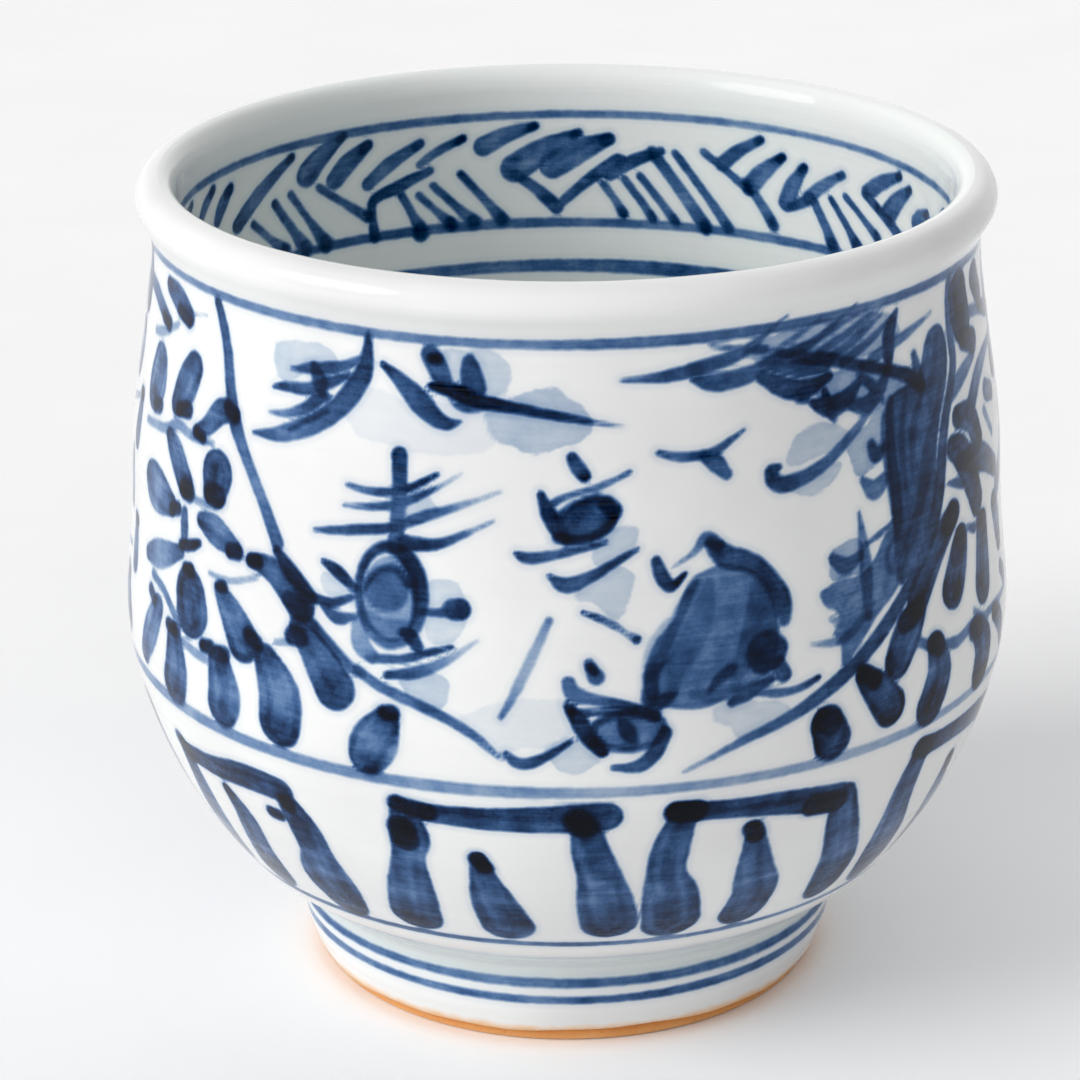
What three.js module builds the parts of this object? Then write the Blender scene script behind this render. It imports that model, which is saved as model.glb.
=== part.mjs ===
import * as THREE from 'three';

// A handleless porcelain teacup, in millimetres, +Z up, standing on its foot at z = 0.
// A rounded bowl swells to a low belly, draws in to a neck and ends in a thick rolled lip.
// Every piece is a body of revolution about Z: the clay bowl, the clay foot ring that it stands
// on, and three coats of glaze. The foot ring's standing edge is left bare.

// Overall sizes.
const CUP_HEIGHT = 80.6;
const BELLY_RADIUS = 43.1;
const BELLY_HEIGHT = 37.5;
const NECK_RADIUS = 39.4;
const NECK_HEIGHT = 74.6;
const LIP_RADIUS = 40.8;
const LIP_HEIGHT = 78.2;
const CREST_RADIUS = 38.6;

// Foot ring and the recess inside it.
const FOOT_TOP = 6.5;
const FOOT_OUTER_RADIUS = 26.8;
const FOOT_INNER_RADIUS = 22.0;
const STANDING_INNER_RADIUS = 22.6;
const STANDING_OUTER_RADIUS = 24.2;
const BARE_EDGE_HEIGHT = 1.5;
const BARE_EDGE_OUTER_RADIUS = 25.3;
const BARE_EDGE_INNER_RADIUS = 22.3;

// Inside of the bowl.
const FLOOR_HEIGHT = 11.0;
const MOUTH_RADIUS = 36.9;

// Glaze and faceting.
const GLAZE_THICKNESS = 0.4;
const WELL_FILLET = 1.2;
const STEPS_ROUND = 48;
const STEPS_PER_RING = 2;

// Outlines are lists of points in the half-plane (radius, height).
const at = (radius, height) => new THREE.Vector2(radius, height);

// A smooth outline through a few rings of the cup.
function smoothThrough(rings) {
  const curve = new THREE.SplineCurve(rings);
  return curve.getPoints(STEPS_PER_RING * (rings.length - 1));
}

// The same outline moved by a distance to its left, as seen when walking along it.
function offsetLeft(outline, distance) {
  return outline.map((point, i) => {
    const before = outline[Math.max(i - 1, 0)];
    const after = outline[Math.min(i + 1, outline.length - 1)];
    const along = after.clone().sub(before).normalize();
    return at(point.x - along.y * distance, point.y + along.x * distance);
  });
}

// The glazed surface in one line: up the foot and the outside, over the lip, down to the floor.
const glazedFoot = [
  at(BARE_EDGE_OUTER_RADIUS, BARE_EDGE_HEIGHT),
  at(26.3, 4.0),
];
const glazedOutside = smoothThrough([
  at(FOOT_OUTER_RADIUS, FOOT_TOP),
  at(27.4, 9.4),
  at(33.0, 13.8),
  at(38.4, 21.5),
  at(41.7, 29.5),
  at(BELLY_RADIUS, BELLY_HEIGHT),
  at(42.3, 47.5),
  at(41.7, 57.0),
  at(40.2, 67.0),
  at(NECK_RADIUS, NECK_HEIGHT),
  at(LIP_RADIUS, LIP_HEIGHT),
  at(40.1, 80.1),
  at(CREST_RADIUS, CUP_HEIGHT),
]);
const glazedInside = smoothThrough([
  at(CREST_RADIUS, CUP_HEIGHT),
  at(37.2, 79.6),
  at(MOUTH_RADIUS, 76.0),
  at(38.1, 63.5),
  at(39.1, 48.0),
  at(38.8, 36.0),
  at(35.6, 24.0),
  at(28.0, 15.2),
  at(15.0, 11.7),
  at(0, FLOOR_HEIGHT),
]);
const glazedLine = [...glazedFoot, ...glazedOutside, ...glazedInside.slice(1)];

// The clay lies one glaze thickness below the glazed surface.
const clayLine = offsetLeft(glazedLine, GLAZE_THICKNESS);
const footJoint = glazedFoot.length;
const crest = footJoint + glazedOutside.length - 1;
clayLine[0].y = BARE_EDGE_HEIGHT;
clayLine[footJoint].y = FOOT_TOP;
clayLine[crest].set(CREST_RADIUS, CUP_HEIGHT - GLAZE_THICKNESS);
clayLine[clayLine.length - 1].set(0, FLOOR_HEIGHT - GLAZE_THICKNESS);

// The recess under the cup: its glazed surface runs from the centre out and down the wall.
const wellCeiling = FOOT_TOP - GLAZE_THICKNESS;
const glazedWell = [
  at(0, wellCeiling),
  at(FOOT_INNER_RADIUS - GLAZE_THICKNESS - WELL_FILLET, wellCeiling),
  at(FOOT_INNER_RADIUS - GLAZE_THICKNESS, wellCeiling - WELL_FILLET),
  at(BARE_EDGE_INNER_RADIUS - GLAZE_THICKNESS, BARE_EDGE_HEIGHT),
];

// Each outline keeps its solid on the left, starting and ending on the axis or on itself.
const bowlOutline = [
  at(0, FOOT_TOP),
  at(FOOT_INNER_RADIUS, FOOT_TOP),
  ...clayLine.slice(footJoint),
];
const footOutline = [
  at(STANDING_INNER_RADIUS, 0),
  at(STANDING_OUTER_RADIUS, 0),
  at(24.7, 0.5),
  ...clayLine.slice(0, footJoint + 1),
  at(FOOT_INNER_RADIUS, FOOT_TOP),
  at(BARE_EDGE_INNER_RADIUS, BARE_EDGE_HEIGHT),
  at(STANDING_INNER_RADIUS, 0),
];
const outerGlazeOutline = [
  ...glazedLine.slice(0, crest + 1),
  ...clayLine.slice(0, crest + 1).reverse(),
  glazedLine[0],
];
const innerGlazeOutline = [
  ...clayLine.slice(crest).reverse(),
  ...glazedLine.slice(crest),
];
const wellGlazeOutline = [
  ...glazedWell,
  at(BARE_EDGE_INNER_RADIUS, BARE_EDGE_HEIGHT),
  at(FOOT_INNER_RADIUS, FOOT_TOP),
  at(0, FOOT_TOP),
];

const clay = { color: 0xe9e2d6, roughness: 0.75, metalness: 0 };
const bareClay = { color: 0xc98f55, roughness: 0.85, metalness: 0 };
const whiteGlaze = { color: 0xe6e8ea, roughness: 0.12, metalness: 0 };
const celadonTint = { color: 0xd5dedd, roughness: 0.12, metalness: 0 };

// One named piece: its outline turned once round the Z axis.
function turned(name, outline, finish) {
  const geometry = new THREE.LatheGeometry(outline, STEPS_ROUND);
  geometry.rotateX(Math.PI / 2);
  const mesh = new THREE.Mesh(geometry, new THREE.MeshStandardMaterial(finish));
  mesh.name = name;
  return mesh;
}

const group = new THREE.Group();
group.add(turned('porcelain_bowl', bowlOutline, clay));
group.add(turned('foot_ring', footOutline, bareClay));
group.add(turned('outer_glaze', outerGlazeOutline, whiteGlaze));
group.add(turned('inner_glaze', innerGlazeOutline, celadonTint));
group.add(turned('foot_well_glaze', wellGlazeOutline, celadonTint));

export default group;
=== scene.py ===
"""The looks of a handleless porcelain teacup with blue brush painting under its glaze.

The glaze coats and the bare foot are fine turned meshes in the CAD model's own outline. The
painting is worked out here, stroke by stroke, as values on the mesh points: how far a point is
from the nearest stroke, and how dense the pigment is there. The materials turn both into ink.
"""

import math

import bpy
import numpy as np
from mathutils import Matrix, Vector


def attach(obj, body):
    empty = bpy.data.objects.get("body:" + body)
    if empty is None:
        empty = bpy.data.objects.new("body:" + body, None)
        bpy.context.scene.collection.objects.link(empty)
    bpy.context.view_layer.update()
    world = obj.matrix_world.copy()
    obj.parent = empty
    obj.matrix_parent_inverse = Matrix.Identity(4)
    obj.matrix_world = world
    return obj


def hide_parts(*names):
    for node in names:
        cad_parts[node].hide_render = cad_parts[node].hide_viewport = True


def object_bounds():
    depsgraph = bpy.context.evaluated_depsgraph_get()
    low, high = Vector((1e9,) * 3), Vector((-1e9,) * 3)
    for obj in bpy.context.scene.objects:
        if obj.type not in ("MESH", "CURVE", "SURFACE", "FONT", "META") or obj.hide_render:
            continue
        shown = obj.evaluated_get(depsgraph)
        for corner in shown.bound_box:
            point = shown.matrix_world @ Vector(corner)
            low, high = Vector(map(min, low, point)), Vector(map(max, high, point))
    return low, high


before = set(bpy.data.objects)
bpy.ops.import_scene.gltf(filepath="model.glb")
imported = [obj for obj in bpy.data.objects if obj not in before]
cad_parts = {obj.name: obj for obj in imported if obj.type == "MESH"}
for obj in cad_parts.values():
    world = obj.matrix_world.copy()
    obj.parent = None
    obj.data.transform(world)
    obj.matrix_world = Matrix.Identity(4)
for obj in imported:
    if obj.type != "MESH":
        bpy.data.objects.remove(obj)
CAD_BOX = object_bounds()

# Outline of the cup, (radius, height) in mm, as in the part's source.
CUP_HEIGHT = 80.6
CREST = (38.6, 80.6)
GLAZED_FOOT = [(24.95, 1.4), (25.3, 1.55), (25.62, 2.3), (26.3, 4.0)]
GLAZED_OUTSIDE = [
    (26.8, 6.5),
    (27.4, 9.4),
    (33.0, 13.8),
    (38.4, 21.5),
    (41.7, 29.5),
    (43.1, 37.5),
    (42.3, 47.5),
    (41.7, 57.0),
    (40.2, 67.0),
    (39.4, 74.6),
    (40.8, 78.2),
    (40.1, 80.1),
    CREST,
]
GLAZED_INSIDE = [
    (0.0, 11.0),
    (15.0, 11.7),
    (28.0, 15.2),
    (35.6, 24.0),
    (38.8, 36.0),
    (39.1, 48.0),
    (38.1, 63.5),
    (36.9, 76.0),
    (37.2, 79.6),
    CREST,
]
FOOT_TOP = 6.5
FOOT_INNER_RADIUS = 22.0
BARE_EDGE_HEIGHT = 1.5
GLAZE_THICKNESS = 0.4
BELLY_RADIUS = 43.1

# The frame's height sets the scale, so the looks follow the CAD model's size.
MM = CAD_BOX[1].z / CUP_HEIGHT

# Spacing of mesh points in mm: a list of (up to this height or angle, spacing).
OUTSIDE_ROWS = [(4.0, 0.5), (10.0, 0.4), (14.0, 0.6), (34.0, 0.5), (76.0, 0.38), (81.0, 0.45)]
INSIDE_ROWS = [(56.0, 1.3), (77.0, 0.33), (81.0, 0.45)]
OUTSIDE_COLUMNS = [(-72.0, 0.6), (78.0, 0.36), (180.0, 0.6)]
INSIDE_COLUMNS = 660
FOOT_COLUMNS = 288
HIDDEN_STEP = 7

# Pigment density of the brush, from 0 for none to 1 for black.
PALE, LIGHT, MID, DEEP, DARK, BLACK = 0.14, 0.32, 0.52, 0.70, 0.86, 1.0

LAYERS = ("wash", "brush", "line")
FAR = 3.0
BLEND = 0.25
GLAZE_RUN = 0.2
RIM_ANGLE = math.radians(50.0)
BRISTLES = (3.1, 1.7, 1.05)
BRISTLE_SHARES = (0.5, 0.35, 0.25)
BRISTLE_DEPTH = 0.17


# ---------------------------------------------------------------- curves and outlines


def spline(rows, steps):
    """A smooth curve through the rows of a table, with this many steps between two rows."""
    rows = np.asarray(rows, float)
    padded = np.vstack([rows[:1], rows, rows[-1:]])
    t = np.linspace(0.0, 1.0, steps, endpoint=False)[:, None]
    spans = []
    for before, start, end, after in zip(padded, padded[1:], padded[2:], padded[3:]):
        leaving = (end - before) / 2
        arriving = (after - start) / 2
        cubic = 2 * (start - end) + leaving + arriving
        square = 3 * (end - start) - 2 * leaving - arriving
        spans.append(((cubic * t + square) * t + leaving) * t + start)
    return np.vstack(spans + [rows[-1:]])


def spacing_at(places, bands):
    """The wanted spacing at each place, from a list of (up to here, spacing)."""
    limits = [limit for limit, _ in bands]
    sizes = np.array([size for _, size in bands])
    return sizes[np.clip(np.searchsorted(limits, places), 0, len(bands) - 1)]


def spread_rows(outline, bands):
    """The outline again, with its points at the spacing that its height asks for."""
    lengths = np.hypot(*np.diff(outline, axis=0).T)
    middles = (outline[1:, 1] + outline[:-1, 1]) / 2
    count = np.concatenate([[0.0], np.cumsum(lengths / spacing_at(middles, bands))])
    wanted = np.linspace(0.0, count[-1], int(math.ceil(count[-1])) + 1)
    return np.column_stack([np.interp(wanted, count, outline[:, k]) for k in (0, 1)])


def spread_columns(bands, radius):
    """Angles in degrees from -180 to 180, at the spacing that their place asks for."""
    fine = np.linspace(-180.0, 180.0, 7201)
    arc = np.radians(np.diff(fine)) * radius
    count = np.concatenate([[0.0], np.cumsum(arc / spacing_at(fine[1:], bands))])
    wanted = np.linspace(0.0, count[-1], int(math.ceil(count[-1])) + 1)
    return np.interp(wanted, count, fine)[:-1]


def offset_left(outline, distance):
    """The outline moved to its left, as seen when walking along it."""
    along = np.gradient(outline, axis=0)
    along /= np.hypot(along[:, 0], along[:, 1])[:, None]
    return outline + distance * np.column_stack([-along[:, 1], along[:, 0]])


# ---------------------------------------------------------------- painting


def spread_list(values, count):
    """A list of a few values, stretched evenly to this many."""
    values = np.atleast_1d(np.asarray(values, float))
    return np.interp(np.linspace(0, 1, count), np.linspace(0, 1, len(values)), values)


def smoothstep(values, low, high):
    t = np.clip((values - low) / (high - low), 0.0, 1.0)
    return t * t * (3 - 2 * t)


class Canvas:
    """Paint on a turned surface, as values on its grid of points: rows by columns.

    Each layer keeps how far each point is outside its nearest stroke, in mm and negative inside,
    and how dense the pigment is there.
    """

    def __init__(self, outline, degrees):
        self.radii = outline[:, 0]
        self.heights = outline[:, 1]
        self.along = np.concatenate([[0.0], np.cumsum(np.hypot(*np.diff(outline, axis=0).T))])
        self.degrees = degrees
        shape = (len(outline), len(degrees))
        self.edge = {layer: np.full(shape, FAR) for layer in LAYERS}
        self.tone = {layer: np.full(shape, MID) for layer in LAYERS}
        self.random = np.random.default_rng(5)

    def arc_to(self, height):
        return np.interp(height, self.heights, self.along)

    def turn_from(self, centre):
        """Degrees from this angle to each column, the short way round."""
        return (self.degrees - centre + 180.0) % 360.0 - 180.0

    def window(self, path, reach):
        """The rows and columns that lie within reach of a path of (degrees, height)."""
        arcs = self.arc_to(path[:, 1])
        rows = np.nonzero((self.along > arcs.min() - reach) & (self.along < arcs.max() + reach))[0]
        if len(rows) == 0:
            return rows, rows, 0.0
        centre = (path[:, 0].min() + path[:, 0].max()) / 2
        margin = math.degrees(reach / max(self.radii[rows].min(), 5.0))
        half = (path[:, 0].max() - path[:, 0].min()) / 2 + margin
        columns = np.nonzero(np.abs(self.turn_from(centre)) <= half)[0]
        return rows, columns, centre

    def to_path(self, path, rows, columns, centre):
        """Each point's distance to each span of a path, the share of the span, and the side."""
        radius = self.radii[rows][:, None, None]
        turn = self.turn_from(centre)[columns][None, :, None]
        arc = self.along[rows][:, None, None]
        across = np.radians(path[:, 0] - centre - turn) * radius
        upward = np.broadcast_to(self.arc_to(path[:, 1]) - arc, across.shape)
        run, rise = np.diff(across, axis=2), np.diff(upward, axis=2)
        length = np.maximum(run**2 + rise**2, 1e-9)
        share = -(across[..., :-1] * run + upward[..., :-1] * rise) / length
        share = np.clip(share, 0.0, 1.0)
        gap = np.hypot(across[..., :-1] + share * run, upward[..., :-1] + share * rise)
        side = np.sign(run * upward[..., :-1] - rise * across[..., :-1])
        return gap, share, side

    def lay(self, layer, rows, columns, edge, tone):
        """Adds one stroke to a layer. Where two strokes overlap, their pigment adds up."""
        place = np.ix_(rows, columns)
        old_edge = self.edge[layer][place]
        old_tone = self.tone[layer][place]
        nearer = smoothstep(old_edge - edge, -BLEND, BLEND)
        both = smoothstep(-old_edge, -BLEND, BLEND) * smoothstep(-edge, -BLEND, BLEND)
        single = old_tone + (tone - old_tone) * nearer
        high, low = np.maximum(old_tone, tone), np.minimum(old_tone, tone)
        double = high + 0.4 * low * (1 - high)
        self.tone[layer][place] = single + (double - single) * both
        self.edge[layer][place] = np.minimum(old_edge, edge)

    def stroke(self, layer, points, widths, tones, steps=5):
        """A brush stroke through (degrees, height) points, with its widths in mm and its tones."""
        count = len(points)
        table = np.column_stack([points, spread_list(widths, count), spread_list(tones, count)])
        path = spline(table, steps)
        path[:, 2] = np.maximum(path[:, 2], 0.1)
        rows, columns, centre = self.window(path, path[:, 2].max() / 2 + FAR)
        if len(rows) == 0 or len(columns) == 0:
            return
        gap, share, side = self.to_path(path, rows, columns, centre)
        half = (path[:-1, 2] + share * np.diff(path[:, 2])) / 2
        tone = path[:-1, 3] + share * np.diff(path[:, 3])
        nearest = np.argmin(gap - half, axis=2)[..., None]
        edge = np.take_along_axis(gap - half, nearest, axis=2)[..., 0]
        tone = np.take_along_axis(tone, nearest, axis=2)[..., 0]
        off = np.take_along_axis(gap * side, nearest, axis=2)[..., 0]
        step = nearest[..., 0] / max(len(path) - 1, 1)
        tone = tone * self.bristles(off, step, path[:, 2].max())
        self.lay(layer, rows, columns, edge, np.clip(tone, 0.0, 1.0))

    def bristles(self, off, step, width):
        """Lengthwise streaks in a stroke: lighter and darker lines side by side, in mm across."""
        phases = self.random.uniform(0.0, 2 * math.pi, 3)
        drift = self.random.normal(0.0, 1.2, 3)
        streaks = sum(
            np.sin(2 * math.pi * off / wavelength + phase + turn * step) * share
            for wavelength, share, phase, turn in zip(BRISTLES, BRISTLE_SHARES, phases, drift)
        )
        return 1 + BRISTLE_DEPTH * smoothstep(width, 0.9, 3.0) * streaks

    def fill(self, layer, points, tone, steps=6):
        """A filled patch with a smooth outline through (degrees, height) points."""
        closed = list(points) * 3
        count = len(points)
        path = spline(closed, steps)[count * steps : 2 * count * steps + 1]
        rows, columns, centre = self.window(path, FAR)
        if len(rows) == 0 or len(columns) == 0:
            return
        gap, _, _ = self.to_path(path, rows, columns, centre)
        turn = self.turn_from(centre)[columns][None, :, None]
        height = self.heights[rows][:, None, None]
        x, z = path[:, 0] - centre, path[:, 1]
        crosses = (z[:-1] > height) != (z[1:] > height)
        slope = np.diff(x) / np.where(np.diff(z) == 0, 1e-9, np.diff(z))
        crossing = x[:-1] + (height - z[:-1]) * slope
        inside = np.sum(crosses & (turn < crossing), axis=2) % 2 == 1
        edge = gap.min(axis=2) * np.where(inside, -1.0, 1.0)
        self.lay(layer, rows, columns, edge, np.full(edge.shape, tone))

    def ring_line(self, height, width, tone, drift=0.12):
        """A line brushed right round the cup while it turns, with its small unevenness."""
        angle = np.radians(self.degrees)
        waver = np.sin(angle + height) + 0.5 * np.sin(3 * angle + 2 * height)
        middle = self.arc_to(height + drift * waver)
        load = 1 + 0.12 * np.sin(2 * angle + height) + 0.06 * np.sin(7 * angle + 3 * height)
        edge = np.abs(self.along[:, None] - middle) - width * load / 2
        tones = np.broadcast_to(tone * (1 + 0.1 * np.sin(angle * 2 - height)), edge.shape)
        every_row, every_column = np.arange(len(self.along)), np.arange(len(self.degrees))
        self.lay("brush", every_row, every_column, edge, tones)

    def thin_out(self, height, tilt, half_width, amount):
        """A thinner stripe in the paint, at a height that tilts as it goes round."""
        middle = height + tilt * np.sin(np.radians(self.degrees))
        off = (self.heights[:, None] - middle) / half_width
        for layer in ("brush", "line"):
            self.tone[layer] *= 1 - amount * np.exp(-(off**2))

    def deepen_below(self, height, tilt, floor, amount):
        """Paint between a tilting height and the floor, a little denser."""
        middle = height + tilt * np.sin(np.radians(self.degrees))
        inside = smoothstep(middle - self.heights[:, None], -0.4, 0.8)
        inside = inside * (self.heights[:, None] > floor)
        self.tone["brush"] += amount * inside * (1 - self.tone["brush"])


class Brush:
    """Paints in one part of a canvas: degrees are counted from its centre."""

    def __init__(self, canvas, centre=0.0, wander=0.0, seed=1):
        self.canvas = canvas
        self.centre = centre
        self.wander = wander
        self.random = np.random.default_rng(seed)

    def moved(self, points):
        shift = self.random.normal(0.0, 1.0, 2) * self.wander
        return [(x + self.centre + shift[0], z + 0.6 * shift[1]) for x, z in points]

    def stroke(self, points, widths, tones, layer="brush"):
        swell = 1 + 0.08 * self.wander * self.random.normal()
        widths = np.atleast_1d(widths) * swell
        self.canvas.stroke(layer, self.moved(points), widths, tones)

    def line(self, points, widths, tones):
        self.stroke(points, widths, tones, layer="line")

    def wash(self, points, tone):
        self.canvas.fill("wash", self.moved(points), tone)

    def patch(self, points, tone):
        self.canvas.fill("brush", self.moved(points), tone)

    def leaf(self, points, widths, tone, head=None, head_width=1.6, head_tone=0.95):
        """A pressed brush mark. Its head, where the brush first touched, is darker."""
        self.stroke(points, widths, [tone + 0.14, tone - 0.04, tone - 0.09, tone + 0.15])
        if head:
            self.line(head, [head_width * 0.9, head_width], [head_tone, head_tone * 0.97])

    def ring(self, centre, across, height, widths, tones, layer="line"):
        """An oval line: half its width in degrees and half its height in mm."""
        turns = np.radians(np.arange(0, 390, 30))
        points = [
            (centre[0] + across * math.cos(a), centre[1] + height * math.sin(a)) for a in turns
        ]
        self.stroke(points, spread_list(widths, 13), spread_list(tones, 13), layer)


def draw_panel_border(brush):
    brush.stroke(
        [(-52.3, 74.3), (-49.8, 70.5), (-48.4, 67), (-47, 64.2), (-44.3, 61.5), (-40.5, 57.8),
         (-38, 54.6)],
        [1.1, 1.3, 1.4, 1.7, 1.3, 1.3, 1.5],
        [0.7, 0.58, 0.62, 0.6, 0.5, 0.5, 0.6],
    )
    brush.line([(-38, 53.8), (-35.5, 52), (-32.5, 50.4)], [1.0, 1.7, 1.1], [0.85, 0.8])
    brush.line(
        [(-33, 48.3), (-30, 46.4), (-27, 44.7), (-25.3, 44.2)], [0.9, 1.1, 0.8], [0.7, 0.6, 0.4]
    )
    brush.stroke(
        [(-26, 44.6), (-23, 43.4), (-20, 42.7), (-15, 41.4), (-11.5, 40.1), (-9, 38.6), (-7.8, 37.8)],
        [0.9, 1.0, 1.0, 0.9, 0.7, 0.35],
        [0.5, 0.55, 0.55, 0.45],
    )
    brush.stroke(
        [(61.9, 74.5), (61.4, 70), (61.6, 67), (59.8, 64.6), (57.3, 62), (55.4, 58.5), (54, 55.3),
         (51.8, 52), (48, 49), (43.3, 46), (38.3, 43.5), (33, 41.5), (27.4, 39.8), (21, 38.3),
         (14, 36.1)],
        [1.3, 1.4, 1.4, 1.4, 1.5, 1.7, 1.8, 1.7, 1.5, 1.6, 1.5, 1.4, 1.1, 0.8, 0.3],
        [0.62, 0.55, 0.62, 0.66, 0.72, 0.78, 0.8, 0.74, 0.72, 0.72, 0.7, 0.66, 0.6, 0.5, 0.35],
    )


def draw_fronds(brush):
    """Hanging leaves in the panel's top left corner, over a pale cloud."""
    brush.wash(
        [(-40, 71), (-39.5, 72.8), (-36, 73.4), (-32.5, 73.1), (-30, 72.2), (-31.5, 71), (-36, 70.2),
         (-38, 69), (-39.7, 69.6)],
        PALE,
    )
    brush.wash(
        [(-29, 69.8), (-24, 70), (-19, 69.5), (-12, 69.2), (-9, 67), (-10, 65.6), (-20, 65.3),
         (-27, 65.8)],
        0.05,
    )
    brush.stroke(
        [(-25.8, 75), (-26.2, 72), (-27.3, 70.3), (-29.5, 68.2), (-33, 66.3), (-37, 64.9),
         (-40, 64.2), (-43.3, 63.9)],
        [0.5, 1.5, 1.9, 1.9, 1.9, 1.7, 1.1, 0.3],
        [0.75, 0.75, 0.68, 0.6, 0.52, 0.52, 0.58, 0.7],
    )
    brush.stroke(
        [(-26.5, 72.8), (-29, 71.8), (-32, 71.2), (-35, 70.8), (-37.6, 70.5)],
        [0.5, 0.9, 1.1, 0.9, 0.3],
        [0.55, 0.6, 0.7, 0.7, 0.6],
    )
    brush.line([(-34, 71.2), (-33, 70), (-32.3, 69)], [0.7, 1.6, 0.9], [0.7, 0.6])
    brush.stroke(
        [(-40.3, 68.5), (-38, 68.8), (-35, 69), (-32, 69.8), (-28.5, 71)],
        [0.4, 0.9, 1.1, 1.1, 0.6],
        [0.75, 0.7, 0.66],
    )
    brush.stroke(
        [(-40.8, 66.1), (-38, 66.4), (-35, 67.2), (-33, 68.3), (-31.3, 68.7)],
        [0.3, 0.7, 1.1, 1.2, 0.5],
        [0.42, 0.5, 0.6, 0.65, 0.6],
    )
    brush.line([(-37.3, 65), (-34, 66.4), (-31.5, 67.4)], [0.3, 0.5, 0.3], 0.6)
    brush.stroke(
        [(-23.8, 72.4), (-21.5, 71.3), (-19, 69.8), (-17, 68.5), (-15, 67.8), (-13.2, 68.1)],
        [0.5, 1.3, 2.0, 1.7, 1.1, 0.3],
        [0.88, 0.62, 0.62, 0.66, 0.7, 0.6],
    )


def draw_far_shore(brush):
    """Two roofs on a low shore, with reflections under them."""
    brush.wash([(-16, 74.3), (-12, 74.6), (-8.5, 74), (-7, 72.4), (-8.3, 70.7), (-14, 71)], PALE)
    brush.wash(
        [(-10, 69.2), (-9, 66.8), (-5, 65.7), (-1, 66), (2, 67), (2.6, 68.5), (1, 69.9), (-2, 71),
         (-5, 70.8), (-8, 69.8)],
        0.19,
    )
    brush.stroke([(-17.3, 73.8), (-16.3, 72.6), (-15.3, 71.2)], [1.7, 1.9, 1.4], [0.6, 0.65])
    brush.line([(-17, 73.4), (-16.4, 73.4)], 1.0, 0.93)
    brush.stroke([(-12.2, 73.5), (-12, 72.4), (-11.6, 71)], [1.1, 1.9, 2.2], [0.85, 0.62])
    brush.stroke(
        [(-17.2, 71), (-14.5, 70.8), (-11, 70), (-6, 69.5), (-2, 69), (2, 68.5), (7, 67.9)],
        [0.6, 1.4, 1.3, 0.9, 0.8, 0.6, 0.2],
        [0.85, 0.97, 0.85, 0.78, 0.75, 0.7, 0.3],
    )
    brush.line([(-14.5, 69.9), (-12.5, 69.3), (-9.5, 69.6)], [0.4, 0.8, 0.4], 0.6)


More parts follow.
